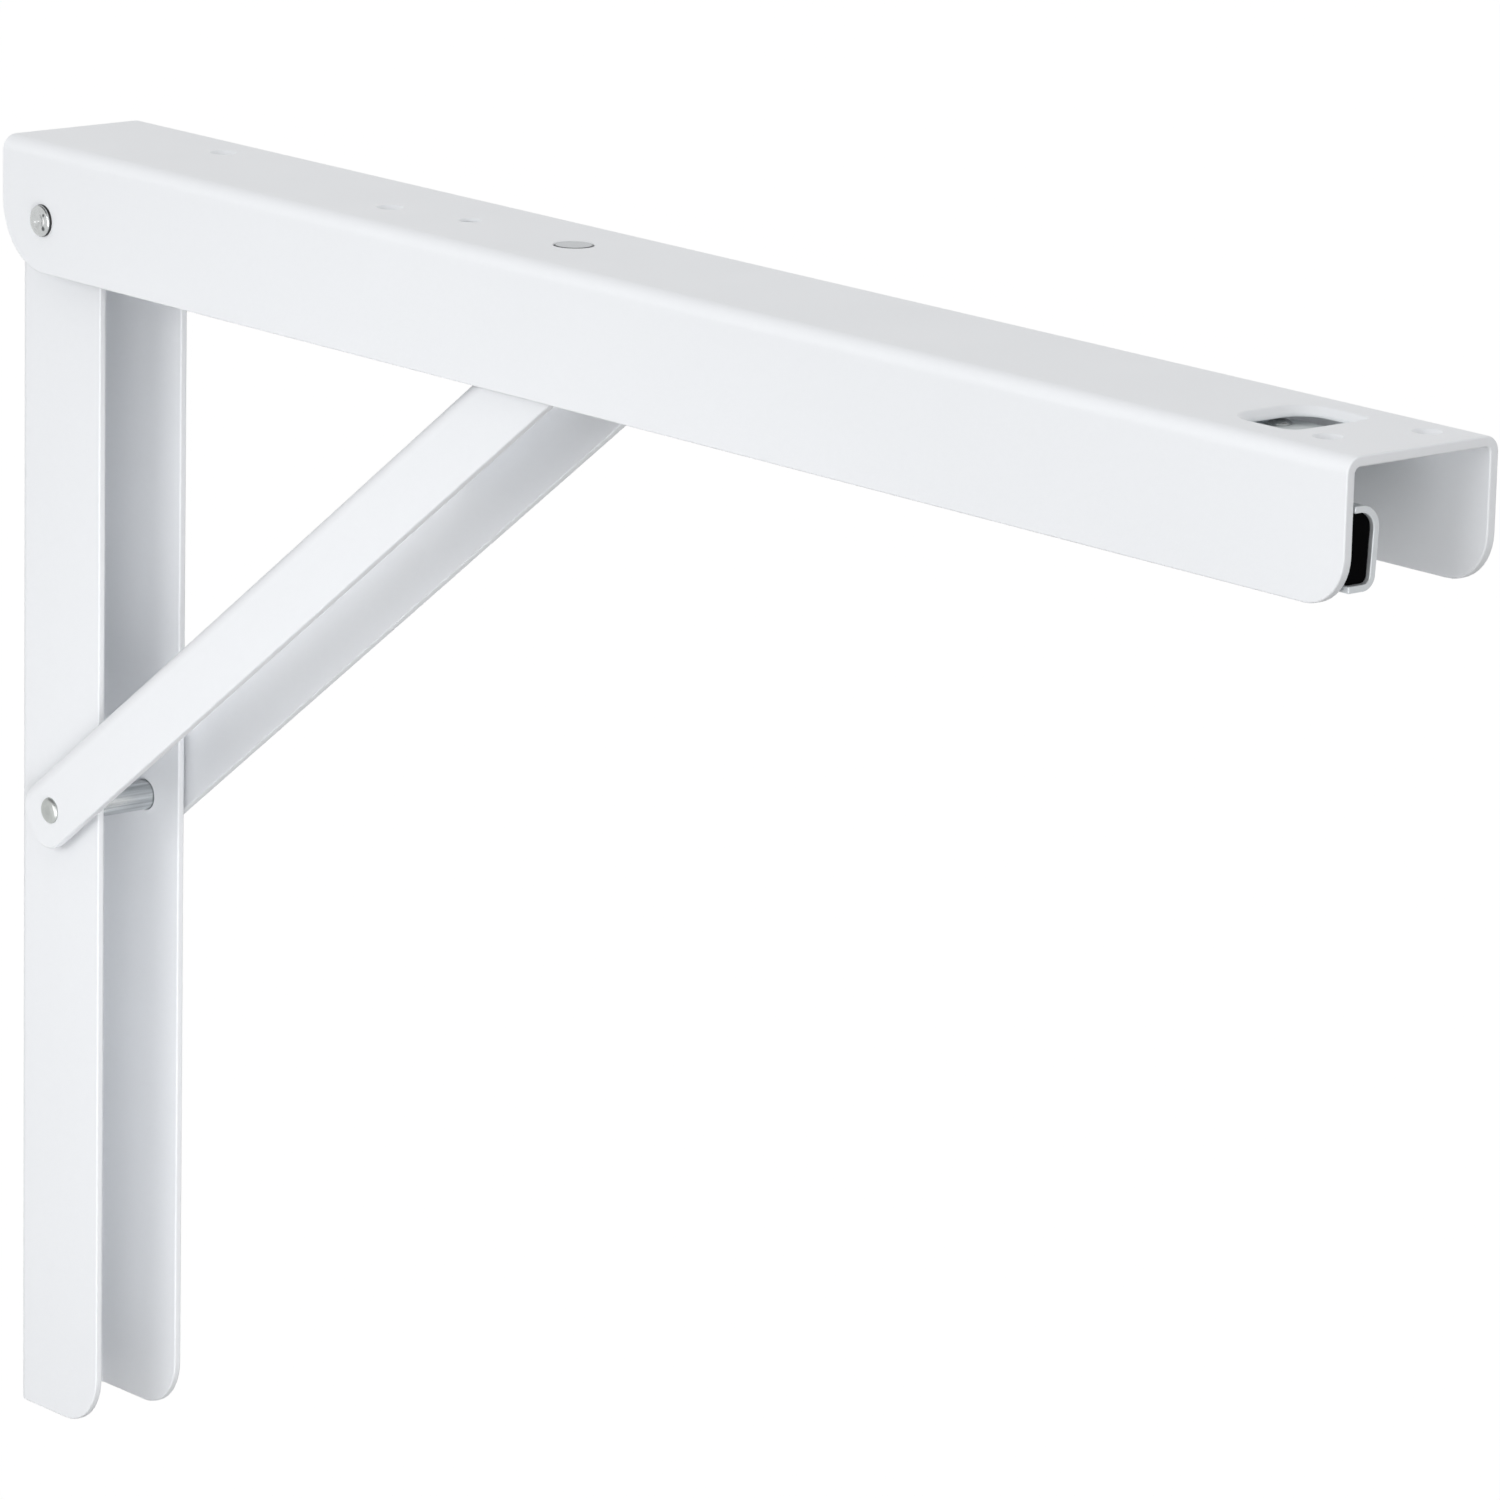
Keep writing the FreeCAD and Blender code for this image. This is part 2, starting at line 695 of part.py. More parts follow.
guide_rail = arm_body("guide_rail")
rail_start = stop_run + s.bumper_radius + s.rail_gap
rail_end = arm_tip - s.rail_end_back
rail_bottom = s.arm_sheet + s.rail_depth
rail_inner = s.rail_half - s.rail_sheet
rail_ceiling = s.arm_sheet + s.rail_sheet
rail_floor = rail_bottom - s.rail_sheet
sketch = new_sketch(guide_rail, "YZ_Plane", rail_start)
add_outline(sketch, [
    (-s.rail_half, -s.arm_sheet),
    (s.rail_half, -s.arm_sheet),
    (s.rail_half, -rail_bottom),
    (s.rail_slot_half, -rail_bottom),
    (s.rail_slot_half, -rail_floor),
    (rail_inner, -rail_floor),
    (rail_inner, -rail_ceiling),
    (-rail_inner, -rail_ceiling),
    (-rail_inner, -rail_floor),
    (-s.rail_slot_half, -rail_floor),
    (-s.rail_slot_half, -rail_bottom),
    (-s.rail_half, -rail_bottom)])
rail = pad(guide_rail, sketch, rail_end - rail_start)
bottom_edges = [name for side in (NEAR, FAR)
                for name in straight_edges(rail, "x", y=s.rail_half * side, z=-rail_bottom)]
fillet(guide_rail, rail, bottom_edges, s.rail_sheet)
nose_start = slider_run + s.shoe_front + s.lever_nose_gap
nose_end = nose_start + s.lever_nose_length
lever_bottom = s.lever_drop + s.lever_sheet
sketch = new_sketch(guide_rail, "XZ_Plane", rail_inner - s.end_play)
add_outline(sketch, [
    (nose_start - s.lever_nose_gap, s.lever_nose_gap - s.lever_drop),
    (nose_end + s.lever_nose_gap, s.lever_nose_gap - s.lever_drop),
    (nose_end + s.lever_nose_gap, -lever_bottom - s.lever_nose_gap),
    (nose_start - s.lever_nose_gap, -lever_bottom - s.lever_nose_gap)])
pocket(guide_rail, sketch, s.rail_sheet + s.end_play * 2, flip=True)


# Strut: a folded sheet channel, narrower than the arm and wider than the leg; its web is cut
# away where it lies over the leg and over the slider when the bracket is folded.

strut_channel = strut_body("strut_channel")
web_under = s.strut_web_rise - s.strut_sheet
strut_end = s.strut_span + s.strut_head_overhang
sketch = new_sketch(strut_channel, "YZ_Plane", -s.strut_foot_overhang)
add_outline(sketch, [
    (-strut_half, s.strut_web_rise),
    (strut_half, s.strut_web_rise),
    (strut_half, -s.strut_edge_drop),
    (strut_inner, -s.strut_edge_drop),
    (strut_inner, web_under),
    (-strut_inner, web_under),
    (-strut_inner, -s.strut_edge_drop),
    (-strut_half, -s.strut_edge_drop)])
strut = pad(strut_channel, sketch, strut_end + s.strut_foot_overhang)
strut = fillet(strut_channel, strut, straight_edges(strut, "x", z=s.strut_web_rise), s.strut_bend)
strut = fillet(strut_channel, strut, straight_edges(strut, "x", z=web_under), s.strut_bend - s.strut_sheet)
cut_half = strut_half - s.strut_lip
head_cut_start = s.strut_span - s.head_cut_back
foot_cut_end = head_cut_start - s.web_strip
sketch = new_sketch(strut_channel, "XY_Plane", s.strut_web_rise)
for start, end in (
        (-s.strut_foot_overhang - s.strut_bend, foot_cut_end),
        (head_cut_start, strut_end + s.strut_bend)):
    add_outline(sketch, [(start, -cut_half), (end, -cut_half), (end, cut_half), (start, cut_half)])
strut = pocket(strut_channel, sketch, s.strut_sheet)
cut_corners = []
for run in (foot_cut_end, head_cut_start):
    cut_corners += straight_edges(strut, "z", x=run)
fillet(strut_channel, strut, cut_corners, s.cut_corner)

for end, outward, corner in (
        (-s.strut_foot_overhang, -1, s.strut_foot_corner),
        (strut_end, 1, s.strut_head_corner)):
    sketch = new_sketch(strut_channel, "XZ_Plane")
    add_corner_cut(sketch, end, s.strut_web_rise, outward, 1, corner)
    add_corner_cut(sketch, end, -s.strut_edge_drop, outward, -1, corner)
    pocket(strut_channel, sketch, s.arm_width, symmetric=True)
sketch = new_sketch(strut_channel, "XZ_Plane")
add_circle(sketch, ZERO, ZERO, s.spigot_radius)
add_circle(sketch, s.strut_span, ZERO, s.spigot_radius)
pocket(strut_channel, sketch, s.arm_width, symmetric=True)


# Pins of the strut: both are shouldered between the flanges and riveted over outside them.

def shouldered_pin(name, along, radius, head_radius, head_height, head_round):
    body = strut_body(name, along)
    end = strut_half + head_height
    sketch = new_sketch(body, "XY_Plane")
    add_outline(sketch, [
        (ZERO, -end),
        (head_radius, -end),
        (head_radius, -strut_half),
        (s.spigot_radius, -strut_half),
        (s.spigot_radius, -strut_inner),
        (radius, -strut_inner),
        (radius, strut_inner),
        (s.spigot_radius, strut_inner),
        (s.spigot_radius, strut_half),
        (head_radius, strut_half),
        (head_radius, end),
        (ZERO, end)])
    feature = turn(body, sketch)
    rims = [edge for side in (NEAR, FAR)
            for edge in round_edges(feature, "y", end * side, head_radius)]
    fillet(body, feature, rims, head_round)


shouldered_pin("strut_pin", ZERO, s.strut_pin_radius, s.strut_head_radius, s.strut_head_height,
               s.strut_head_round)
shouldered_pin("top_pin", s.strut_span, s.top_pin_radius, s.top_head_radius, s.top_head_height,
               s.top_head_round)

for side, word in ((NEAR, "near"), (FAR, "far")):
    washer = strut_body(f"strut_washer_{word}")
    ring(washer, side, s.strut_pin_radius, s.strut_washer_radius, leg_half + s.end_play, strut_inner)
    sleeve = strut_body(f"top_sleeve_{word}", s.strut_span)
    ring(sleeve, side, s.top_pin_radius, s.top_sleeve_radius, s.top_sleeve_start, strut_inner)


# Slider: a T-shaped plastic shoe hangs in the rail and carries a steel cradle for the top pin.

slider_shoe = arm_body("slider_shoe", slider_run)
shoe_half = rail_inner - s.shoe_side_gap
neck_half = s.rail_slot_half - s.neck_side_gap
shoe_top = rail_ceiling + s.shoe_top_gap
shoe_bottom = rail_floor - s.shoe_top_gap
neck_bottom = rail_bottom + s.neck_below_rail
sketch = new_sketch(slider_shoe, "YZ_Plane", -s.shoe_back)
add_outline(sketch, [
    (-shoe_half, -shoe_top),
    (shoe_half, -shoe_top),
    (shoe_half, -shoe_bottom),
    (neck_half, -shoe_bottom),
    (neck_half, -neck_bottom),
    (-neck_half, -neck_bottom),
    (-neck_half, -shoe_bottom),
    (-shoe_half, -shoe_bottom)])
shoe = pad(slider_shoe, sketch, s.shoe_back + s.shoe_front)
corners = [name for side in (NEAR, FAR) for end in (-s.shoe_back, s.shoe_front)
           for name in straight_edges(shoe, "z", x=end, y=shoe_half * side)]
fillet(slider_shoe, shoe, corners, s.shoe_round)
rivet_runs = (-s.slider_rivet_back, s.slider_rivet_front)
sketch = new_sketch(slider_shoe, "XY_Plane", s.slider_rivet_depth - neck_bottom)
for run in rivet_runs:
    add_circle(sketch, run, ZERO, s.slider_rivet_radius)
pocket(slider_shoe, sketch, s.slider_rivet_depth)

slider_hook = arm_body("slider_hook", slider_run)
plate_bottom = neck_bottom + s.hook_plate
sketch = new_sketch(slider_hook, "XZ_Plane")
add_circle(sketch, ZERO, -s.top_pin_drop, s.hook_radius)
pad(slider_hook, sketch, s.hook_half * 2, symmetric=True)
sketch = new_sketch(slider_hook, "XZ_Plane")
add_outline(sketch, [
    (-s.shoe_back, -neck_bottom),
    (s.shoe_front, -neck_bottom),
    (s.shoe_front, -plate_bottom),
    (s.hook_stem_front, -plate_bottom),
    (s.hook_stem_front, -s.top_pin_drop),
    (-s.hook_stem_back, -s.top_pin_drop),
    (-s.hook_stem_back, -plate_bottom),
    (-s.shoe_back, -plate_bottom)])
pad(slider_hook, sketch, s.hook_half * 2, symmetric=True)
sketch = new_sketch(slider_hook, "XZ_Plane")
add_circle(sketch, ZERO, -s.top_pin_drop, s.top_pin_radius + s.running_fit)
pocket(slider_hook, sketch, s.hook_half * 2, symmetric=True)
# The mouth leaves the cradle open forward and downward, so that the pin can leave it.
sketch = new_sketch(slider_hook, "XZ_Plane")
mouth_top = s.mouth_reach - s.top_pin_drop
add_outline(sketch, [
    (ZERO, -s.top_pin_drop),
    (s.mouth_top_run, mouth_top),
    (s.mouth_reach, mouth_top),
    (s.mouth_reach, -s.top_pin_drop - s.mouth_reach),
    (-s.mouth_reach, -s.top_pin_drop - s.mouth_reach),
    (-s.mouth_reach, -s.top_pin_drop - s.mouth_back_drop)])
pocket(slider_hook, sketch, s.hook_half * 2, symmetric=True)
sketch = new_sketch(slider_hook, "XY_Plane", -neck_bottom)
for run in rivet_runs:
    add_circle(sketch, run, ZERO, s.slider_rivet_radius)
pocket(slider_hook, sketch, s.hook_plate)

slider_rivets = arm_body("slider_rivets", slider_run)
sketch = new_sketch(slider_rivets, "XY_Plane", -plate_bottom)
for run in rivet_runs:
    add_circle(sketch, run, ZERO, s.slider_rivet_radius)
pad(slider_rivets, sketch, s.hook_plate + s.slider_rivet_depth, apart=True)
sketch = new_sketch(slider_rivets, "XY_Plane", -plate_bottom)
for run in rivet_runs:
    add_circle(sketch, run, ZERO, s.slider_rivet_head)
pad(slider_rivets, sketch, s.slider_rivet_cap, flip=True, apart=True)


# Lever pivot: a stud welded under the web, a washer above the lever, a clip below the spring.

def arm_ring(name, inner, outer, top, bottom, run, side):
    """A ring round a vertical axis under the arm's web."""
    body = arm_body(name, run, side)
    sketch = new_sketch(body, "XZ_Plane")
    add_outline(sketch, [(inner, -top), (outer, -top), (outer, -bottom), (inner, -bottom)])
    turn(body, sketch)


pivot_side = -s.lever_outer_side
lever_stud = arm_body("lever_stud", pivot_run, pivot_side)
clip_bottom = s.clip_drop + s.clip_sheet
groove_radius = s.stud_radius - s.stud_groove
sketch = new_sketch(lever_stud, "XZ_Plane")
add_outline(sketch, [
    (ZERO, -s.arm_sheet),
    (s.stud_radius, -s.arm_sheet),
    (s.stud_radius, -s.clip_drop),
    (groove_radius, -s.clip_drop),
    (groove_radius, -clip_bottom),
    (s.stud_radius, -clip_bottom),
    (s.stud_radius, -s.stud_drop),
    (ZERO, -s.stud_drop)])
turn(lever_stud, sketch)
arm_ring("lever_washer", s.stud_radius, s.lever_washer_radius, s.arm_sheet, s.lever_drop - s.end_play,
         pivot_run, pivot_side)
arm_ring("lever_clip", groove_radius, s.clip_radius, s.clip_drop, clip_bottom,
         pivot_run, pivot_side)

# Torsion spring round the stud: one end rests on the arm's near flange, the other is
# turned up beside the lever's bar and pushes the nose inward.
spring_lean = math.radians(s.spring_lean.value)
coil_turns = s.spring_turns.value + s.spring_lean.value / 360
coil_height = s.spring_pitch.value * coil_turns
coil_radius = s.spring_radius.value
wire_radius = s.spring_wire_radius.value
left_handed = True
helix = Part.makeHelix(s.spring_pitch.value, coil_height, coil_radius, 0, left_handed)
helix.rotate(FreeCAD.Vector(0, 0, 0), FreeCAD.Vector(0, 0, 1), 180)
coil_start = FreeCAD.Vector(-coil_radius, 0, 0)
flange_reach = (arm_inner - s.lever_outer_side).value - 2 * wire_radius
spring_foot = coil_start + FreeCAD.Vector(0, -flange_reach, 0)
coil_end = FreeCAD.Vector(
    -coil_radius * math.sin(spring_lean), -coil_radius * math.cos(spring_lean), coil_height)
elbow = coil_end + FreeCAD.Vector(
    -s.spring_arm.value * math.cos(spring_lean), s.spring_arm.value * math.sin(spring_lean), 0)
path = Part.Wire([Part.makeLine(spring_foot, coil_start)] + helix.Edges + [Part.makeLine(coil_end, elbow)])
section = Part.Wire([Part.makeCircle(wire_radius, spring_foot, FreeCAD.Vector(0, 1, 0))])
coiled = path.makePipeShell([section], True, True)
hook_up = Part.makeCylinder(wire_radius, s.spring_hook.value, elbow, FreeCAD.Vector(0, 0, 1))
spring_shape = coiled.fuse([hook_up, Part.makeSphere(wire_radius, elbow)])
return_spring = doc.addObject("Part::Feature", "return_spring")
return_spring.Label = "return_spring"
return_spring.Shape = spring_shape
put(return_spring, s.hinge_reach + pivot_run, pivot_side,
    s.spring_top_drop + s.spring_pitch * coil_turns)


# Release lever: a flat bar beside the rail with a nose in front of the slider, an eye on the
# stud, a plate under the window and a tab turned down for the grip.

release_lever = arm_body("release_lever")
plate_run = arm_tip - s.lever_plate_back
post_run = arm_tip - s.post_back
tab_run = arm_tip - s.lever_tab_back
lever_tip = arm_tip - s.lever_tip_back
sketch = new_sketch(release_lever, "XY_Plane", -lever_bottom)
tab_outer = -s.lever_tab_side
add_outline(sketch, [
    (nose_start, -s.lever_outer_side),
    (pivot_run - s.lever_joggle_run, -s.lever_outer_side),
    (pivot_run, -s.lever_outer_side - s.lever_joggle),
    (tab_run, -s.lever_outer_side - s.lever_joggle),
    (tab_run, tab_outer),
    (lever_tip, tab_outer),
    (lever_tip, s.lever_plate_side),
    (plate_run, s.lever_plate_side),
    (plate_run, -s.lever_inner_side - s.lever_joggle),
    (pivot_run + s.lever_joggle_run, -s.lever_inner_side - s.lever_joggle),
    (pivot_run, -s.lever_inner_side),
    (nose_end, -s.lever_inner_side),
    (nose_end, -s.lever_nose_side),
    (nose_start, -s.lever_nose_side)])
lever = pad(release_lever, sketch, s.lever_sheet)
plate_corners = [name for run in (plate_run, lever_tip)
                 for name in straight_edges(lever, "z", x=run, y=s.lever_plate_side)]
lever = fillet(release_lever, lever, plate_corners, s.lever_plate_corner)
sketch = new_sketch(release_lever, "XY_Plane", -lever_bottom)
add_circle(sketch, pivot_run, pivot_side, s.eye_radius)
lever = pad(release_lever, sketch, s.lever_sheet)
sketch = new_sketch(release_lever, "XY_Plane", -s.lever_tab_drop)
tab_inner = tab_outer + s.lever_sheet
add_outline(sketch, [
    (tab_run, tab_outer),
    (lever_tip, tab_outer),
    (lever_tip, tab_inner),
    (tab_run, tab_inner)])
lever = pad(release_lever, sketch, s.lever_tab_drop - s.lever_drop)
tab_corners = [name for run in (tab_run, lever_tip)
               for name in straight_edges(lever, "y", x=run, z=-s.lever_tab_drop)]
lever = fillet(release_lever, lever, tab_corners, s.lever_tab_corner)
bend_edge = straight_edges(lever, "x", y=tab_outer, z=-s.lever_drop)
fillet(release_lever, lever, bend_edge, s.lever_bend)
sketch = new_sketch(release_lever, "XY_Plane", -s.lever_drop)
add_circle(sketch, pivot_run, pivot_side, s.stud_radius + s.running_fit)
add_circle(sketch, post_run, s.post_side, s.post_shank_radius)
pocket(release_lever, sketch, s.lever_sheet)
grip_rivet_run = arm_tip - s.grip_rivet_back
grip_rivet_drops = (s.grip_rivet_drop, s.grip_rivet_drop + s.grip_rivet_pitch)
sketch = new_sketch(release_lever, "XZ_Plane", s.lever_tab_side)
for drop in grip_rivet_drops:
    add_circle(sketch, grip_rivet_run, -drop, s.grip_rivet_radius)
pocket(release_lever, sketch, s.lever_sheet)

spring_post = arm_body("spring_post", post_run, s.post_side)
sketch = new_sketch(spring_post, "XZ_Plane")
post_top = s.post_height - s.lever_drop
add_outline(sketch, [
    (ZERO, post_top),
    (s.post_radius, post_top),
    (s.post_radius, -s.lever_drop),
    (s.post_shank_radius, -s.lever_drop),
    (s.post_shank_radius, -lever_bottom),
    (ZERO, -lever_bottom)])
post = turn(spring_post, sketch)
fillet(spring_post, post, round_edges(post, "z", post_top, s.post_radius), s.post_height - s.post_rim)


# Finger grip: a C-shaped cover with a black block inside, riveted to the lever's tab.

finger_grip = arm_body("finger_grip")
grip_run = arm_tip - s.grip_length
grip_back = -s.lever_tab_side
grip_mouth = -s.grip_outer_side
grip_ceiling = s.grip_top_drop + s.grip_sheet
grip_floor = s.grip_bottom_drop - s.grip_sheet
grip_inner = grip_back - s.grip_sheet
sketch = new_sketch(finger_grip, "YZ_Plane", grip_run)
add_outline(sketch, [
    (grip_mouth, -s.grip_top_drop),
    (grip_back, -s.grip_top_drop),
    (grip_back, -s.grip_bottom_drop),
    (grip_mouth, -s.grip_bottom_drop),
    (grip_mouth, -grip_floor),
    (grip_inner, -grip_floor),
    (grip_inner, -grip_ceiling),
    (grip_mouth, -grip_ceiling)])
grip = pad(finger_grip, sketch, s.grip_length)
grip = fillet(finger_grip, grip, straight_edges(grip, "x", y=grip_back, z=-s.grip_top_drop),
              s.grip_top_bend)
grip = fillet(finger_grip, grip, straight_edges(grip, "x", y=grip_back, z=-s.grip_bottom_drop),
              s.grip_bottom_bend)
grip = fillet(finger_grip, grip, straight_edges(grip, "x", y=grip_inner, z=-grip_ceiling),
              s.grip_top_bend - s.grip_sheet)
fillet(finger_grip, grip, straight_edges(grip, "x", y=grip_inner, z=-grip_floor),
       s.grip_bottom_bend - s.grip_sheet)


def lean_cut(body, setback):
    """Cuts the front of a grip piece to a plane leaning back toward the bottom."""
    sketch = new_sketch(body, "XZ_Plane")
    end = arm_tip - setback
    add_outline(sketch, [
        (end, -s.grip_top_drop),
        (arm_tip + s.grip_sheet, -s.grip_top_drop),
        (arm_tip + s.grip_sheet, -s.grip_bottom_drop),
        (end - s.grip_lean, -s.grip_bottom_drop)])
    pocket(body, sketch, s.arm_width, symmetric=True)


lean_cut(finger_grip, ZERO)
sketch = new_sketch(finger_grip, "XZ_Plane", s.lever_tab_side)
for drop in grip_rivet_drops:
    add_circle(sketch, grip_rivet_run, -drop, s.grip_rivet_radius)
pocket(finger_grip, sketch, s.grip_sheet, flip=True)

grip_liner = arm_body("grip_liner")
sketch = new_sketch(grip_liner, "YZ_Plane", grip_run + s.liner_recess)
add_outline(sketch, [
    (grip_mouth + s.liner_side_recess, -grip_ceiling),
    (grip_inner, -grip_ceiling),
    (grip_inner, -grip_floor),
    (grip_mouth + s.liner_side_recess, -grip_floor)])
liner = pad(grip_liner, sketch, s.grip_length - s.liner_recess)
liner = fillet(grip_liner, liner, straight_edges(liner, "x", y=grip_inner, z=-grip_ceiling),
               s.grip_top_bend - s.grip_sheet)
fillet(grip_liner, liner, straight_edges(liner, "x", y=grip_inner, z=-grip_floor),
       s.grip_bottom_bend - s.grip_sheet)
lean_cut(grip_liner, s.liner_recess)

# Two rivets along Y, flush inside the grip and domed on the tab.
grip_rivets = arm_body("grip_rivets")
sketch = new_sketch(grip_rivets, "XZ_Plane", -grip_inner)
for drop in grip_rivet_drops:
    add_circle(sketch, grip_rivet_run, -drop, s.grip_rivet_radius)
pad(grip_rivets, sketch, s.grip_sheet + s.lever_sheet, flip=True, apart=True)
sketch = new_sketch(grip_rivets, "XZ_Plane", -tab_inner)
for drop in grip_rivet_drops:
    add_circle(sketch, grip_rivet_run, -drop, s.grip_rivet_head)
heads = pad(grip_rivets, sketch, s.grip_rivet_cap, flip=True, apart=True)
head_top = tab_inner + s.grip_rivet_cap
fillet(grip_rivets, heads, round_edges(heads, "y", head_top, s.grip_rivet_head),
       s.grip_rivet_cap - s.grip_rivet_rim)

for thing in doc.Objects:
    if "Invalid" in thing.State or "Error" in thing.State:
        raise RuntimeError(f"{thing.Name} is {thing.State}")
os.makedirs("parts", exist_ok=True)
for thing in doc.Objects:
    if thing.isDerivedFrom("PartDesign::Body") or thing is return_spring:
        if thing.Shape.isNull() or not thing.Shape.isValid():
            raise RuntimeError(f"{thing.Label} has no valid shape")
        thing.Shape.exportStep(f"parts/{thing.Label}.step")
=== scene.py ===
import math

import bmesh
import bpy
import numpy as np
from mathutils import Matrix, Vector


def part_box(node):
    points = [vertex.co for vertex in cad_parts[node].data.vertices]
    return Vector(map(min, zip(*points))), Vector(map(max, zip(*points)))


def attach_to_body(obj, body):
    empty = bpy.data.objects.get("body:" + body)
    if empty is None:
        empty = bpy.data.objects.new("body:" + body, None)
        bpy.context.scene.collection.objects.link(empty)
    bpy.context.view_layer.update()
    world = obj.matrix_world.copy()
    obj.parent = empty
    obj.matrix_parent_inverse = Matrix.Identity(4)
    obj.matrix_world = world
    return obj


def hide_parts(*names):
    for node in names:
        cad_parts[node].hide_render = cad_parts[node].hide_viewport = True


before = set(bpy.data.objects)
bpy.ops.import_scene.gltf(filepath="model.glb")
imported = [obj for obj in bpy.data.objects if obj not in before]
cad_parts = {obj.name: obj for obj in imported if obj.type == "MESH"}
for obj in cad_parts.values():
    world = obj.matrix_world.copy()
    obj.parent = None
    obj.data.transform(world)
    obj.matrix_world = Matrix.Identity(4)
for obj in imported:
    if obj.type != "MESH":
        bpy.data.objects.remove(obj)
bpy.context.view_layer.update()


# Wall leg: a channel folded from 2 mm sheet steel that stands with its web on the wall.
# The sheet is deburred and powder coated white, so each of its edges is a fine round that
# catches the light, and the coat has a faint orange peel.

class Wire:
    """A shader socket that sums, scales and compares as a chain of Math nodes."""

    def __init__(self, tree, socket):
        self.tree = tree
        self.socket = socket

    def node(self, kind, settings=None, inputs=None, out=0):
        """Adds a node: its settings first, then the values or links of its sockets."""
        made = self.tree.nodes.new(kind)
        for name, value in (settings or {}).items():
            if name == "stops":
                ramp = made.color_ramp
                while len(ramp.elements) < len(value):
                    ramp.elements.new(0.5)
                for element, (place, colour) in zip(ramp.elements, value):
                    element.position = place
                    element.color = (*colour, 1.0)
            else:
                setattr(made, name, value)
        for name, value in (inputs or {}).items():
            if isinstance(value, Wire):
                self.tree.links.new(value.socket, made.inputs[name])
            else:
                made.inputs[name].default_value = value
        return Wire(self.tree, made.outputs[out])

    def maths(self, operation, first, second=0.0):
        return self.node("ShaderNodeMath", {"operation": operation}, {0: first, 1: second})

    def __add__(self, other):
        return self.maths("ADD", self, other)

    def __radd__(self, other):
        return self.maths("ADD", other, self)

    def __sub__(self, other):
        return self.maths("SUBTRACT", self, other)

    def __rsub__(self, other):
        return self.maths("SUBTRACT", other, self)

    def __mul__(self, other):
        return self.maths("MULTIPLY", self, other)

    def __rmul__(self, other):
        return self.maths("MULTIPLY", other, self)

    def mix(self, low, high):
        """A colour between two colours, with this socket as the factor."""
        return self.node("ShaderNodeMix", {"data_type": "RGBA"}, {0: self, 6: low, 7: high}, out=2)

    def noise(self, scale, detail=2.0, rough=0.5):
        """Soft noise around 0.5 over these coordinates, with so many bumps to a metre."""
        return self.node("ShaderNodeTexNoise", {"noise_dimensions": "3D"},
                         {"Vector": self, "Scale": scale, "Detail": detail, "Roughness": rough})

    def stretched(self, x, y, z):
        """These coordinates scaled along each axis, for lines instead of specks."""
        return self.node("ShaderNodeMapping", {}, {"Vector": self, "Scale": (x, y, z)})

    def bump(self, strength, distance, under=None):
        """This socket as a height for the surface normal, on top of another bump."""
        sockets = {"Height": self, "Strength": strength, "Distance": distance}
        if under is not None:
            sockets["Normal"] = under
        return self.node("ShaderNodeBump", {}, sockets)

    def into(self, shader, socket):
        self.tree.links.new(self.socket, shader.inputs[socket])


def finish_of(name, **even):
    """A new material: its shader, even values set on it, and a wire on Object coordinates."""
    material = bpy.data.materials.new(name)
    material.use_nodes = True
    tree = material.node_tree
    shader = tree.nodes["Principled BSDF"]
    for socket, value in even.items():
        shader.inputs[socket.replace("_", " ")].default_value = value
    place = tree.nodes.new("ShaderNodeTexCoord")
    return material, shader, Wire(tree, place.outputs["Object"])


def screen(red, green, blue):
    """A colour given by its screen values from 0 to 255, as linear light."""
    value = np.array([red, green, blue]) / 255.0
    linear = np.where(value <= 0.04045, value / 12.92, ((value + 0.055) / 1.055) ** 2.4)
    return (*(float(part) for part in linear), 1.0)


def powder_coat(name, colour, shade):
    """Satin powder coat: faint clouds and specks in its tone, a fine peel in its surface."""
    material, shader, place = finish_of(name, IOR=1.5)
    cloud = place.noise(14.0, 3.0)
    speck = place.noise(520.0, 2.0)
    (cloud * 0.65 + speck * 0.35).mix(shade, colour).into(shader, "Base Color")
    handled = place.noise(36.0, 4.0, 0.6)
    (0.30 + handled * 0.12 + speck * 0.10).into(shader, "Roughness")
    peel = place.noise(950.0, 2.0).bump(0.10, 0.0003)
    wave = place.noise(210.0, 2.0).bump(0.06, 0.0005, peel)
    wave.into(shader, "Normal")
    return material


white_coat = powder_coat("white_coat", screen(242, 244, 247), screen(237, 239, 242))


def attach(piece, finish, body, slot, *nodes):
    """Puts a finished piece in the scene, on its body and in place of its CAD nodes."""
    piece.data.materials.clear()
    piece.data.materials.append(finish)
    bpy.context.scene.collection.objects.link(piece)
    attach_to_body(piece, body)
    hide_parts(*nodes)
    return piece


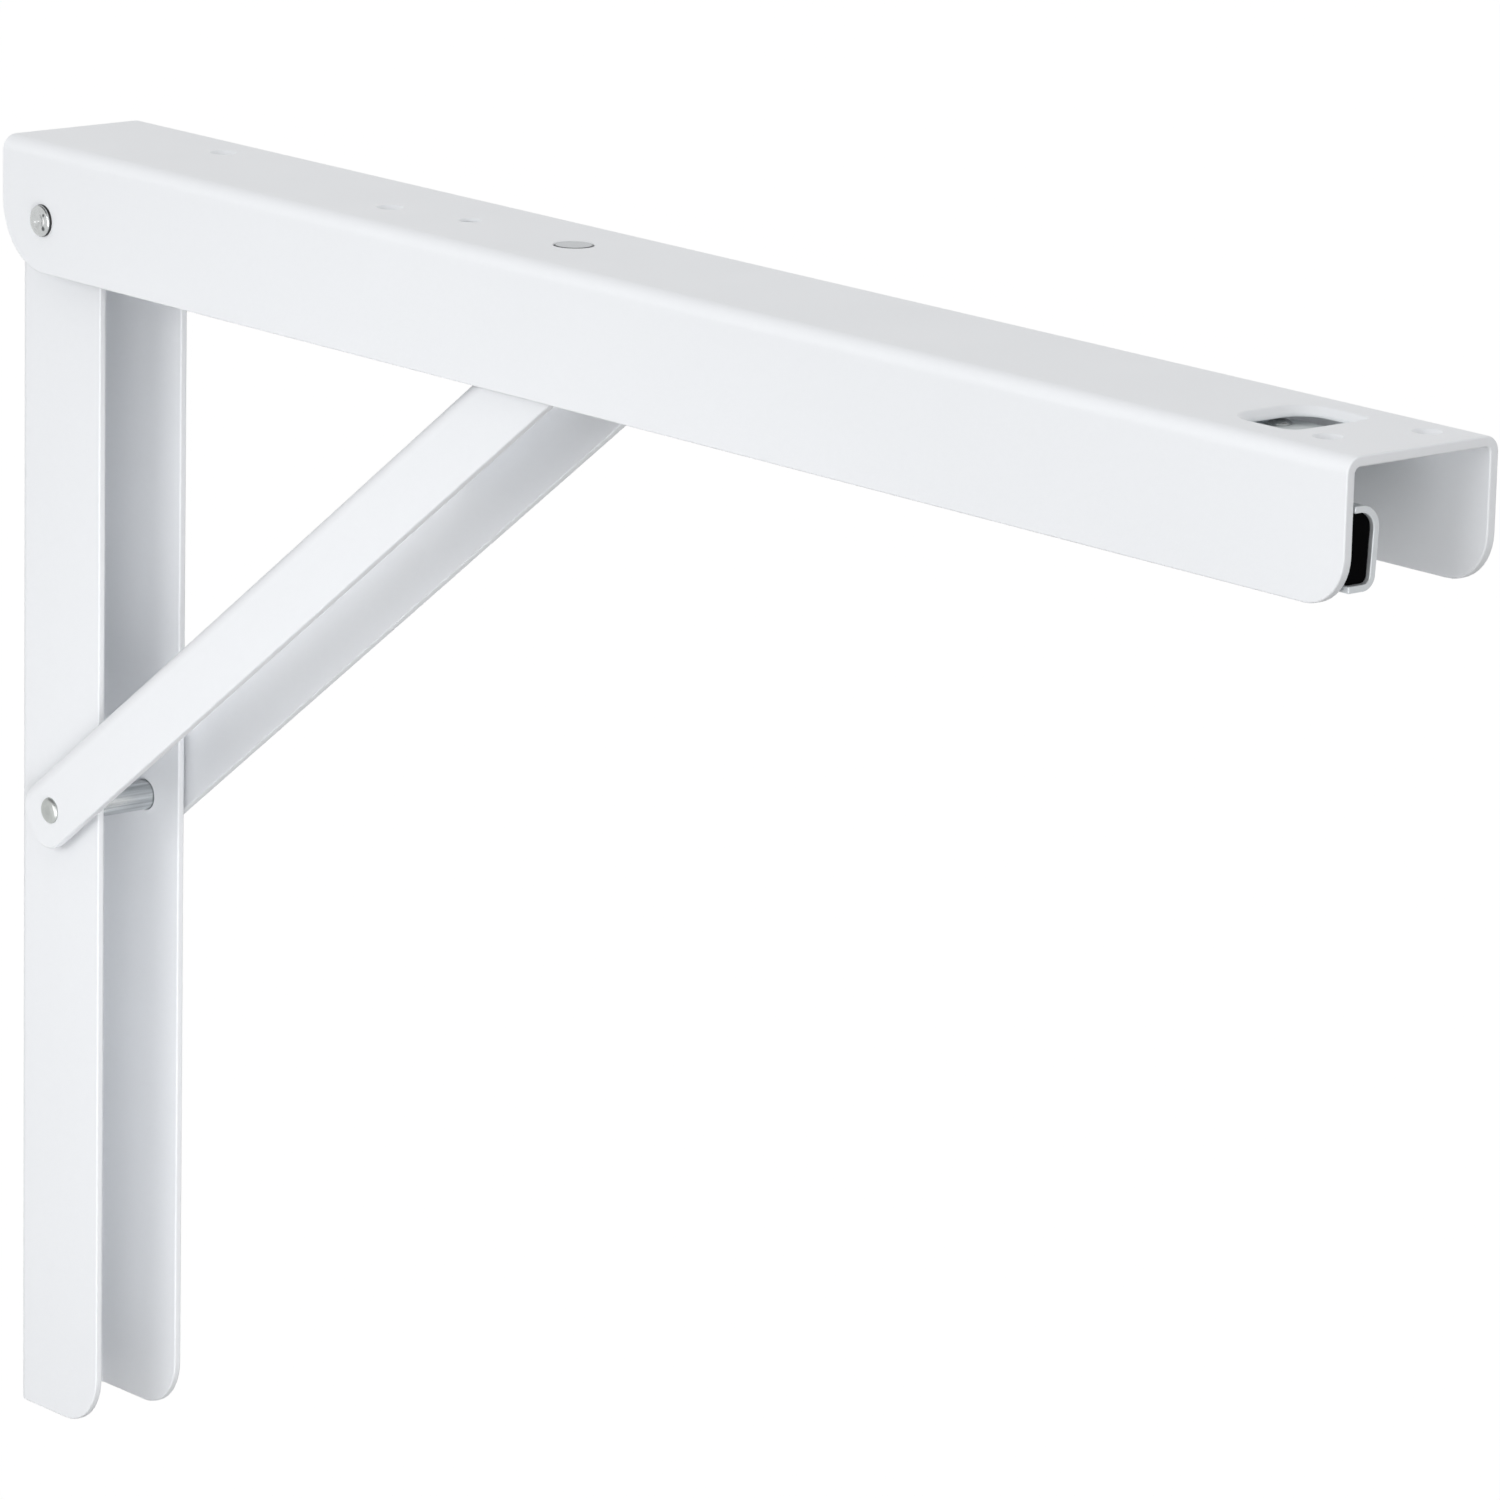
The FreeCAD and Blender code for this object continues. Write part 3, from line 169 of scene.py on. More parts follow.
def deburred(node, body, finish, slot, edge, merged=1e-6):
    """A copy of a folded or cut piece with its sharp edges rounded to a width in metres.

    Corners nearer to each other than the merged distance become one. The weight of an edge
    is its share of the width. It is 1, or less where a face beside the edge is narrow: 0.42
    times the face's area over the edge's length, so that neighbouring rounds never meet.
    """
    form = bmesh.new()
    form.from_mesh(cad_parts[node].data)
    bmesh.ops.remove_doubles(form, verts=form.verts, dist=merged)
    level = math.radians(0.3)
    bmesh.ops.dissolve_limit(form, angle_limit=level, verts=form.verts, edges=form.edges)
    weight = form.edges.layers.float.new("bevel_weight_edge")
    for side in form.edges:
        if side.calc_face_angle(0.0) > math.radians(28):
            room = min(face.calc_area() for face in side.link_faces) / side.calc_length()
            side[weight] = min(1.0, 0.42 * room / edge)
    for face in form.faces:
        face.smooth = True
    mesh = bpy.data.meshes.new(node + "_shell")
    form.to_mesh(mesh)
    form.free()
    piece = bpy.data.objects.new(node + "_shell", mesh)
    round_off = piece.modifiers.new("deburr", "BEVEL")
    round_off.width = edge
    round_off.segments = 3
    round_off.limit_method = "WEIGHT"
    round_off.use_clamp_overlap = False
    even_out = piece.modifiers.new("flats", "WEIGHTED_NORMAL")
    even_out.weight = 90
    return attach(piece, finish, body, slot, node)


deburred("wall_leg", "leg", white_coat, "white_coat", 0.00042)


# Hinge of the arm: a steel pin with a flat, dimpled head on each side, riveted over a thin
# black nylon bush in each flange of the arm. Two steel tubes keep the leg in the middle.

def softened(corners, rounds, closed=False, steps=5):
    """A profile of (radius, height) corners in millimetres, each turned into a small arc.

    An arc's centre lies on the corner's inner bisector at round / sin(half angle), and it
    starts and ends at round / tan(half angle) from the corner. One more point on each
    straight, a little outside the arc, keeps the flats flat when the surface is shaded.
    """
    corners = np.array(corners, dtype=float)
    rounds = np.array(rounds, dtype=float)
    into = np.roll(corners, 1, axis=0) - corners
    away = np.roll(corners, -1, axis=0) - corners
    into_length = np.linalg.norm(into, axis=1, keepdims=True)
    away_length = np.linalg.norm(away, axis=1, keepdims=True)
    into = into / into_length
    away = away / away_length
    half = np.arccos(np.clip((into * away).sum(axis=1), -1.0, 1.0)) / 2
    reach = (rounds / np.tan(half))[:, None]
    bisector = into + away
    bisector = bisector / np.linalg.norm(bisector, axis=1, keepdims=True)
    centre = corners + bisector * (rounds / np.sin(half))[:, None]
    first = corners + into * reach - centre
    last = corners + away * reach - centre
    start = np.arctan2(first[:, 1], first[:, 0])
    sweep = np.arctan2(last[:, 1], last[:, 0]) - start
    sweep = (sweep + np.pi) % (2 * np.pi) - np.pi
    angle = start[:, None] + sweep[:, None] * np.linspace(0.0, 1.0, steps + 1)
    circle = np.stack([np.cos(angle), np.sin(angle)], axis=-1)
    arc = centre[:, None] + rounds[:, None, None] * circle
    before = corners + into * np.minimum(reach + 0.12, into_length * 0.45)
    after = corners + away * np.minimum(reach + 0.12, away_length * 0.45)
    groups = np.concatenate([before[:, None], arc, after[:, None]], axis=1)
    if closed:
        run = groups.reshape(-1, 2)
        return np.concatenate([run, run[:1]])
    return np.concatenate([corners[:1], groups[1:-1].reshape(-1, 2), corners[-1:]])


def both_ends(half_profile, rounds):
    """A turned profile and its rounds, mirrored about height 0."""
    upper = [(radius, -height) for radius, height in half_profile[::-1]]
    return half_profile + upper, rounds + rounds[::-1]


def lathe(profile, centre, axis, steps=96):
    """A grid of a profile turned round an axis: its point at angle a lies at the centre
    plus radius times (cos a, sin a) square to the axis, and height along the axis."""
    angle = np.linspace(0.0, 2 * np.pi, steps + 1)
    radius = profile[:, :1] / 1000
    height = np.broadcast_to(profile[:, 1:] / 1000, (len(profile), steps + 1))
    across = radius * np.cos(angle)
    beside = radius * np.sin(angle)
    parts = (across, height, beside) if axis == "y" else (across, beside, height)
    return np.stack(parts, axis=-1) + np.array(centre)


def formed(name, grids, finish, body, slot, *nodes):
    """One closed mesh from grids of points, with its seams merged and its faces outward."""
    points = np.concatenate([grid.reshape(-1, 3) for grid in grids])
    faces = []
    start = 0
    for grid in grids:
        rows, columns = grid.shape[:2]
        corner = start + np.arange(rows - 1)[:, None] * columns + np.arange(columns - 1)
        cells = np.stack([corner, corner + 1, corner + columns + 1, corner + columns], axis=-1)
        faces.append(cells.reshape(-1, 4))
        start += rows * columns
    mesh = bpy.data.meshes.new(name)
    mesh.from_pydata(points.tolist(), [], np.concatenate(faces).tolist())
    form = bmesh.new()
    form.from_mesh(mesh)
    bmesh.ops.remove_doubles(form, verts=form.verts, dist=1e-6)
    if form.calc_volume(signed=True) < 0:
        bmesh.ops.reverse_faces(form, faces=form.faces)
    form.to_mesh(mesh)
    form.free()
    mesh.shade_smooth()
    return attach(bpy.data.objects.new(name, mesh), finish, body, slot, *nodes)


def middle_of(node):
    """The centre of a CAD node's box."""
    low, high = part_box(node)
    return [(low[i] + high[i]) / 2 for i in range(3)]


def rivet_steel(name, colour, shade, roughness, painted_spots=()):
    """Turned and hammered steel: fine turning lines, small dents and a patchy shine. Painted spots
    lay painted highlights and painted reflections on the colour: each is its point and its reach in metres, and
    its colour."""
    material, shader, place = finish_of(name, Metallic=1.0)
    patch = place.noise(320.0, 3.0, 0.6)
    lines = place.stretched(1.0, 0.04, 1.0).noise(2600.0, 2.0)
    tone = (patch * 0.7 + lines * 0.3).mix(shade, colour)
    # Painted highlight and painted reflection: near each spot's point the colour turns to the spot's colour.
    for point, reach, painted_colour in painted_spots:
        away = place.node("ShaderNodeVectorMath", {"operation": "DISTANCE"},
                          {0: place, 1: point}, out=1)
        tone = (away * (2.2 / reach) + patch * 0.9 - 1.6).mix(painted_colour, tone)
    tone.into(shader, "Base Color")
    (roughness - 0.10 + patch * 0.14 + lines * 0.08).into(shader, "Roughness")
    dents = place.noise(700.0, 2.0).bump(0.35, 0.0002)
    lines.bump(0.16, 0.0001, dents).into(shader, "Normal")
    return material


pin_steel = rivet_steel("pin_steel", screen(190, 193, 194), screen(140, 144, 146), 0.34)


def moulded(name, colour, shade, roughness, scale, **even):
    """Moulded plastic or rubber: specks in its tone and a fine grain in its surface."""
    material, shader, place = finish_of(name, **even)
    speck = place.noise(scale, 3.0)
    speck.mix(shade, colour).into(shader, "Base Color")
    (roughness + speck * 0.12).into(shader, "Roughness")
    speck.bump(0.22, 0.0002).into(shader, "Normal")
    return material


black_nylon = moulded("black_nylon", screen(30, 30, 32), screen(20, 20, 22), 0.36, 1100.0)

hinge_half = [(0.0, -23.66), (0.55, -23.64), (2.15, -24.42), (3.0, -24.45), (3.85, -24.22),
              (4.1, -23.95), (4.1, -23.65), (3.0, -23.65)]
hinge_rounds = [0.0, 0.35, 0.3, 0.6, 0.15, 0.08, 0.05, 0.04]
hinge_profile = softened(*both_ends(hinge_half, hinge_rounds))
hinge_middle = middle_of("hinge_pin")
head_face = 0.0243
# Painted highlight and painted dark reflections on the dimple of each head: a white spot to its right, and two
# dark spots above and below it.
painted_reflections = [((hinge_middle[0] + out, side * head_face, hinge_middle[2] + up), reach, painted_colour)
               for side in (-1, 1)
               for out, up, reach, painted_colour in ((0.0020, 0.0001, 0.0011, screen(250, 250, 250)),
                                             (0.0023, 0.0017, 0.0006, screen(96, 99, 101)),
                                             (0.0022, -0.0017, 0.0008, screen(88, 91, 93)))]
hinge_steel = rivet_steel("hinge_steel", screen(216, 218, 218), screen(174, 177, 177), 0.18,
                          painted_reflections)
formed("hinge_rivet", [lathe(hinge_profile, hinge_middle, "y")], hinge_steel, "leg",
       "zinc_steel", "hinge_pin")

bush_corners = [(3.06, 20.5), (3.7, 20.5), (3.7, 23.0), (4.2, 23.0), (4.2, 23.5), (3.06, 23.5)]
bush_rounds = [0.1, 0.1, 0.04, 0.08, 0.12, 0.1]
tube_corners = [(3.0, 14.0), (6.0, 14.0), (6.0, 20.35), (3.0, 20.35)]
for hand, word in ((-1, "near"), (1, "far")):
    bush = softened(bush_corners, bush_rounds, closed=True) * [1, hand]
    formed(f"arm_bush_{word}", [lathe(bush, hinge_middle, "y")], black_nylon, "arm", "black_nylon",
           f"hinge_bush_{word}")
    tube = softened(tube_corners, [0.15, 0.25, 0.25, 0.15], closed=True) * [1, hand]
    formed(f"spacer_tube_{word}", [lathe(tube, hinge_middle, "y")], pin_steel, "leg", "zinc_steel",
           f"hinge_spacer_{word}")


# Arm: a wider channel folded from 2.5 mm sheet, open downward, that carries the leaf.
# Its web has countersunk screw holes and, near the tip, a window with a coined bevel.

deburred("arm_channel", "arm", white_coat, "white_coat", 0.00045)


# Stop of the slider: a flat-headed rivet, turned off flush with the web after riveting and
# coated thinly with the arm, and a black rubber ring on its shank under the web.

stop_middle = middle_of("stop_rivet")
web_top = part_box("arm_channel")[1][2]

thin_coat, shader, place = finish_of("thin_coat", Metallic=0.35, IOR=1.5)
offset = place.node("ShaderNodeVectorMath", {"operation": "SUBTRACT"},
                    {0: place, 1: (stop_middle[0], stop_middle[1], web_top)})
radius = offset.node("ShaderNodeVectorMath", {"operation": "LENGTH"}, {0: offset}, out=1)
rings = radius.maths("SINE", radius * 16000.0) * 0.5 + 0.5
speck = place.noise(900.0, 3.0)
coat = (rings * 0.35 + speck * 0.65).mix(screen(198, 201, 204), screen(218, 221, 224))
# Painted shade: from 4.3 mm out to the rim, the disc's colour darkens to dark grey, for the shaded seam round the
# flush head.
(radius * 3300.0 - 14.2).mix(coat, screen(96, 99, 102)).into(shader, "Base Color")
(0.34 + speck * 0.16).into(shader, "Roughness")
rings.bump(0.25, 0.0001, speck.bump(0.3, 0.0002)).into(shader, "Normal")

stop_profile = softened(
    [(0.0, 0.0), (4.7, 0.0), (4.7, -1.2), (3.2, -1.2), (3.2, -2.5), (4.0, -2.5), (4.0, -10.5),
     (0.0, -10.5)],
    [0.0, 0.22, 0.05, 0.05, 0.05, 0.05, 0.5, 0.0])
formed("stop_disc", [lathe(stop_profile, (stop_middle[0], stop_middle[1], web_top), "z")],
       thin_coat, "arm", "coated_rivet", "stop_rivet")

black_rubber = moulded("black_rubber", screen(9, 9, 10), screen(4, 4, 5), 0.75, 1500.0,
                       Specular_IOR_Level=0.02)
ring_profile = softened([(4.0, -3.5), (7.4, -3.5), (7.4, 3.5), (4.0, 3.5)],
                        [0.3, 1.1, 1.1, 0.3], closed=True)
formed("bumper_ring", [lathe(ring_profile, middle_of("stop_bumper"), "z")], black_rubber, "arm",
       "black_rubber", "stop_bumper")


# Guide rail: a C-shaped rail of 1.5 mm zinc-plated strip, welded under the arm's web, with
# a gap cut in its near wall for the nose of the release lever.

def zinc_plate(name, colour, shade, roughness, lengthwise=0.05, metal=1.0):
    """Zinc plate over rolled strip: rolling lines along it, clouds and tiny spangles."""
    material, shader, place = finish_of(name, Metallic=metal)
    lines = place.stretched(lengthwise, 1.0, 1.0).noise(1500.0, 2.0)
    cloud = place.noise(85.0, 3.0, 0.6)
    spangle = place.node("ShaderNodeTexVoronoi", {"feature": "F1"},
                         {"Vector": place, "Scale": 650.0}, out=1)
    shine = spangle.node("ShaderNodeSeparateColor", {}, {"Color": spangle})
    tone = cloud * 0.5 + lines * 0.3 + shine * 0.2
    tone.mix(shade, colour).into(shader, "Base Color")
    (roughness - 0.10 + cloud * 0.10 + lines * 0.06 + shine * 0.06).into(shader, "Roughness")
    lines.bump(0.12, 0.0002).into(shader, "Normal")
    return material


zinc = zinc_plate("zinc_plate", screen(214, 218, 221), screen(186, 192, 197), 0.36)
deburred("guide_rail", "arm", zinc, "zinc_steel", 0.00022)


# Lever pivot: a grooved stud welded under the web, a washer above the lever, a pronged
# spring clip in the groove and a torsion spring of 0.8 mm wire round the stud.

pivot_x, pivot_y = middle_of("lever_stud")[:2]
stud_profile = softened(
    [(0.0, -2.5), (2.0, -2.5), (2.0, -9.9), (1.5, -9.9), (1.5, -10.5), (2.0, -10.5), (2.0, -11.0), (0.0, -11.0)],
    [0.0, 0.1, 0.08, 0.05, 0.05, 0.05, 0.2, 0.0])
formed("pivot_stud", [lathe(stud_profile, (pivot_x, pivot_y, web_top), "z", 64)], zinc, "arm", "zinc_steel",
       "lever_stud")
washer_profile = softened(
    [(2.0, -2.5), (3.4, -2.5), (3.4, -4.25), (2.0, -4.25)], [0.12, 0.25, 0.25, 0.12], closed=True)
formed("pivot_washer", [lathe(washer_profile, (pivot_x, pivot_y, web_top), "z", 64)], zinc, "arm", "zinc_steel",
       "lever_washer")

blued_wire = zinc_plate("blued_wire", screen(150, 152, 157), screen(112, 115, 121), 0.30, 1.0)


def clip_shape():
    """A flat open ring: at angle a its outer edge lies at 3.6 mm and its inner edge at 2.35
    mm, less 0.85 mm at prongs a quarter turn apart, two of them at its ends, and its section
    is a rounded rectangle 0.6 mm thick. Both ends close on the middle of the section."""
    angle = np.radians(np.linspace(42.0, 318.0, 139))
    from_gap = np.degrees(np.abs((angle - np.pi / 4) % (np.pi / 2) - np.pi / 4))
    inner = 2.35 - 0.85 * np.clip((from_gap - 31.0) / 6.0, 0.0, 1.0)
    outer = np.full_like(angle, 3.6)
    section = np.array([(0, -0.22), (0.06, -0.3), (0.94, -0.3), (1, -0.22), (1, 0.22), (0.94, 0.3), (0.06, 0.3),
                        (0, 0.22), (0, -0.22)])
    radius = inner[:, None] + (outer - inner)[:, None] * section[:, 0]
    height = np.broadcast_to(section[:, 1], radius.shape)
    ends = [0] + list(range(len(angle))) + [-1]
    radius, height, angle = radius[ends], height[ends].copy(), angle[ends]
    radius[[0, -1]] = ((inner + outer) / 2)[0]
    height[[0, -1]] = 0.0
    spread = np.stack([radius * np.cos(angle)[:, None], radius * np.sin(angle)[:, None], height], axis=-1)
    return spread / 1000 + np.array([pivot_x, pivot_y, middle_of("lever_clip")[2]])


formed("retaining_clip", [clip_shape()], blued_wire, "arm", "spring_steel", "lever_clip")


def wire_along(path, side, radius, around=16):
    """A round wire along a path: at each point a circle spanned by a side vector and by the
    side's cross product with the path's direction. The ends close on the path itself."""
    direction = np.gradient(path, axis=0)
    direction = direction / np.linalg.norm(direction, axis=1, keepdims=True)
    upright = np.cross(direction, side)
    angle = np.linspace(0.0, 2 * np.pi, around + 1)
    circle = (side[:, None] * np.cos(angle)[:, None] + upright[:, None] * np.sin(angle)[:, None]) * radius
    tube = path[:, None] + circle
    first = np.broadcast_to(path[0], (1, around + 1, 3))
    last = np.broadcast_to(path[-1], (1, around + 1, 3))
    return np.concatenate([first, tube, last])


def spring_path():
    """The spring's middle line in millimetres from the foot of its coil: a straight leg to
    the flange, a left-handed coil whose height grows with its angle, a straight arm and a
    hook turned up through a quarter circle. Also the level vector square to each point."""
    coil_radius, pitch, turns, lean = 3.2, 0.9, 2.75 + 11.2 / 360, math.radians(11.2)
    leg = np.linspace(0.0, 1.0, 12)[:-1, None]
    leg = np.array([-coil_radius, -4.2, 0.0]) + leg * np.array([0.0, 4.2, 0.0])
    turn = np.linspace(0.0, turns, 150)
    angle = math.pi - 2 * math.pi * turn
    coil = np.stack([coil_radius * np.cos(angle), coil_radius * np.sin(angle), pitch * turn], axis=-1)
    along = np.array([-math.cos(lean), math.sin(lean), 0.0])
    bend, arm_length, hook = 0.8, 11.5, 2.0
    arm = coil[-1] + np.linspace(0.0, arm_length - bend, 20)[1:-1, None] * along
    quarter = np.linspace(0.0, math.pi / 2, 9)[:, None]
    corner = coil[-1] + along * (arm_length - bend + bend * np.sin(quarter))
    corner = corner + np.array([0.0, 0.0, bend]) * (1 - np.cos(quarter))
    tip = corner[-1] + np.linspace(0.0, hook - bend, 6)[1:, None] * np.array([0.0, 0.0, 1.0])
    path = np.concatenate([leg, coil, arm, corner, tip])
    level = np.cross([0.0, 0.0, 1.0], np.gradient(path, axis=0))
    size = np.linalg.norm(level, axis=1, keepdims=True)
    on_hook = np.arange(len(path)) >= len(path) - len(tip) - len(corner)
    level = np.where(on_hook[:, None], np.cross([0.0, 0.0, 1.0], along), level / np.maximum(size, 1e-9))
    return path, level


path, level = spring_path()
coil_foot = np.array([pivot_x, pivot_y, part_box("return_spring")[0][2] + 0.0004])
formed("torsion_spring", [wire_along(path / 1000 + coil_foot, level, 0.0004)], blued_wire, "arm",
       "spring_steel", "return_spring")


# Strut: a channel of 2.5 mm sheet, narrower than the arm and wider than the leg, so that the
# three nest when the bracket is folded. Its web is cut away where it passes leg and slider.

deburred("strut_channel", "strut", white_coat, "white_coat", 0.00045, merged=0.00045)


# Pins of the strut: shouldered steel pins, riveted over to low domes outside the flanges.
# Nylon washers fill the gap to the leg, nylon sleeves keep the slider in the middle.

turned_pin, shader, place = finish_of("turned_pin", Metallic=1.0)
across = place.node("ShaderNodeSeparateXYZ", {}, {"Vector": place}, out=1)
on_head = across.maths("GREATER_THAN", across.maths("ABSOLUTE", across), 0.0186)
grind_and_reflection = place.stretched(1.0, 0.03, 1.0).noise(1000.0, 3.0, 0.6)
patch = place.noise(420.0, 3.0, 0.6)
# The shank's strong dark and light lengthwise streaks are painted reflection laid over its fine grinding streaks,
# which also give its bump.
shank = (grind_and_reflection * 2.0 - 0.5).mix(screen(146, 150, 153), screen(226, 229, 230))
head = patch.mix(screen(166, 170, 168), screen(202, 205, 203))
on_head.mix(shank, head).into(shader, "Base Color")
(0.20 + on_head * 0.14 + patch * 0.10).into(shader, "Roughness")
patch.bump(0.25, 0.0002, grind_and_reflection.bump(0.3, 0.0002)).into(shader, "Normal")

pin_half = [(0.0, -20.1), (1.8, -20.02), (2.95, -19.62), (3.42, -19.1), (3.5, -18.7), (3.0, -18.7),
            (3.0, -16.2), (3.9, -16.2)]
pin_profile = softened(*both_ends(pin_half, [0.0, 1.6, 1.1, 0.5, 0.06, 0.05, 0.05, 0.12]))
strut_middle = middle_of("strut_pin")
formed("strut_rivet", [lathe(pin_profile, strut_middle, "y")], turned_pin, "strut", "bare_steel", "strut_pin")

top_half = [(0.0, -19.9), (2.6, -19.86), (3.7, -19.5), (4.12, -19.0), (4.2, -18.7), (3.0, -18.7),
            (3.0, -16.2), (4.0, -16.2)]
top_profile = softened(*both_ends(top_half, [0.0, 1.4, 0.8, 0.4, 0.06, 0.05, 0.05, 0.12]))
top_middle = middle_of("top_pin")
formed("top_rivet", [lathe(top_profile, top_middle, "y")], turned_pin, "strut", "bare_steel", "top_pin")

washer_corners = [(3.9, 14.15), (6.3, 14.15), (6.3, 16.2), (3.9, 16.2)]
sleeve_corners = [(4.0, 8.4), (5.5, 8.4), (5.5, 16.2), (4.0, 16.2)]
for hand, word in ((-1, "near"), (1, "far")):
    washer = softened(washer_corners, [0.12, 0.3, 0.3, 0.12], closed=True) * [1, hand]
    formed(f"pin_washer_{word}", [lathe(washer, strut_middle, "y", 72)], black_nylon, "strut", "black_nylon",
           f"strut_washer_{word}")
    sleeve = softened(sleeve_corners, [0.12, 0.3, 0.3, 0.12], closed=True) * [1, hand]
    formed(f"pin_sleeve_{word}", [lathe(sleeve, top_middle, "y", 72)], black_nylon, "strut", "black_nylon",
           f"top_sleeve_{word}")


# Slider: a moulded nylon shoe that runs in the rail, with a bent steel cradle below it that
# takes the strut's top pin. Two small rivets hold the cradle.

deburred("slider_shoe", "slider", black_nylon, "black_nylon", 0.00035)
deburred("slider_hook", "slider", zinc, "zinc_steel", 0.00030)

head_steel = rivet_steel("head_steel", screen(208, 210, 210), screen(166, 169, 169), 0.22)
low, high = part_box("slider_rivets")
rivet_profile = softened(
    [(0.0, 0.0), (0.9, 0.1), (1.5, 0.55), (1.5, 0.8), (1.1, 0.8), (1.1, 6.4), (0.0, 6.4)],
    [0.0, 0.5, 0.2, 0.06, 0.05, 0.15, 0.0])
rivets = [lathe(rivet_profile, (x, 0.0, low[2]), "z", 40) for x in (low[0] + 0.0015, high[0] - 0.0015)]
formed("cradle_rivets", rivets, head_steel, "slider", "bare_steel", "slider_rivets")


# Release lever: a flat bar stamped from 2 mm strip beside the rail, with a nose in front of
# the slider, an eye on the stud, a plate under the window and a tab bent down for the grip.

# The lever's zinc is paler and far less metallic than the rail's: partly its own matte plating, and partly
# painted light for the plate that lies in shade under the window.
lit_lever_zinc = zinc_plate("lit_lever_zinc", screen(238, 243, 243), screen(224, 230, 231), 0.42, metal=0.15)
deburred("release_lever", "lever", lit_lever_zinc, "zinc_steel", 0.00025)

post_low, post_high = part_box("spring_post")
post_profile = softened(
    [(0.0, 2.55), (0.85, 2.5), (1.35, 2.95), (2.1, 3.0), (2.75, 2.45), (2.75, 2.0), (1.5, 2.0),
     (1.5, 0.0), (0.0, 0.0)],
    [0.0, 0.2, 0.25, 0.4, 0.2, 0.05, 0.05, 0.1, 0.0])
post_foot = ((post_low[0] + post_high[0]) / 2, (post_low[1] + post_high[1]) / 2, post_low[2])
formed("plate_rivet", [lathe(post_profile, post_foot, "z", 64)], head_steel, "lever", "bare_steel", "spring_post")


# Finger grip: a C-shaped cover pressed from thin zinc-plated sheet round a solid block of
# black rubber, held on the lever's tab by two rivets.

grip_zinc = zinc_plate("grip_zinc", screen(218, 221, 223), screen(200, 204, 207), 0.56, metal=0.75)
deburred("finger_grip", "lever", grip_zinc, "zinc_steel", 0.00030)
deburred("grip_liner", "lever", black_rubber, "black_rubber", 0.00045)

low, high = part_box("grip_rivets")
tab_rivet = softened(
    [(0.0, 4.9), (1.6, 4.75), (2.8, 4.1), (2.8, 3.7), (1.6, 3.7), (1.6, 0.0), (0.0, 0.0)],
    [0.0, 1.2, 0.2, 0.05, 0.05, 0.1, 0.0])
head_radius = 0.0028
rivets = [lathe(tab_rivet, ((low[0] + high[0]) / 2, low[1], z), "y", 56)
          for z in (low[2] + head_radius, high[2] - head_radius)]
formed("tab_rivets", rivets, head_steel, "lever", "bare_steel", "grip_rivets")


# Studio: two large soft boxes in front of the held bracket, a small one that fills the leg
# under the arm, a pale world and a floor that is clear from below. The camera and the metal
# see both as white.

def looking(azimuth, elevation, roll=0.0):
    """Right, up and back of a camera placed at an azimuth and elevation in degrees."""
    a, e, r = (math.radians(angle) for angle in (azimuth, elevation, roll))
    forward = Vector((-math.sin(a) * math.cos(e), math.cos(a) * math.cos(e), -math.sin(e)))
    right = Vector((math.cos(a), math.sin(a), 0.0))
    up = right.cross(forward)
    turned_right = math.cos(r) * right + math.sin(r) * up
    turned_up = math.cos(r) * up - math.sin(r) * right
    return turned_right, turned_up, -forward


focal_length = 195.12
camera_place = (1.72224, -1.22573, 0.53689)
camera_azimuth, camera_elevation, camera_roll = 49.583, 13.645, 1.328
lens = bpy.data.cameras.new("photo_lens")
lens.lens = focal_length
lens.sensor_width = 36.0
lens.clip_end = 60.0
camera = bpy.data.objects.new("photo_camera", lens)
bpy.context.scene.collection.objects.link(camera)
stance = Matrix(looking(camera_azimuth, camera_elevation, camera_roll)).transposed().to_4x4()
stance.translation = Vector(camera_place)
camera.matrix_world = stance
bpy.context.scene.camera = camera


def seen_directly(tree):
    """1 for rays from the camera and for those that metal and glass send out, else 0."""
    path = tree.nodes.new("ShaderNodeLightPath")
    straight, glossy, through = (
        Wire(tree, path.outputs[name]) for name in ("Is Camera Ray", "Is Glossy Ray", "Is Transmission Ray"))
    return straight.maths("MAXIMUM", straight.maths("MAXIMUM", straight, glossy), through)


world = bpy.data.worlds.new("studio")
bpy.context.scene.world = world
world.use_nodes = True
tree = world.node_tree
tree.nodes.clear()
output = tree.nodes.new("ShaderNodeOutputWorld")
seen = seen_directly(tree)
ambient = seen.node("ShaderNodeBackground", {}, {"Color": (1.0, 1.0, 1.0, 1.0), "Strength": 0.735})
glossy = Wire(tree, tree.nodes.new("ShaderNodeLightPath").outputs["Is Glossy Ray"])
direction = Wire(tree, tree.nodes.new("ShaderNodeTexCoord").outputs["Generated"])
height = direction.node("ShaderNodeSeparateXYZ", {}, {"Vector": direction}, out=2)
rise = height * 2.4 - 0.8
ceiling = rise.node("ShaderNodeClamp", {}, {"Value": rise})
brightness = 1.0 - glossy * ceiling * 0.75
white = seen.node("ShaderNodeBackground", {}, {"Color": (1.0, 1.0, 1.0, 1.0), "Strength": brightness})
shown = seen.node("ShaderNodeMixShader", {}, {0: seen, 1: ambient, 2: white})
tree.links.new(shown.socket, output.inputs["Surface"])


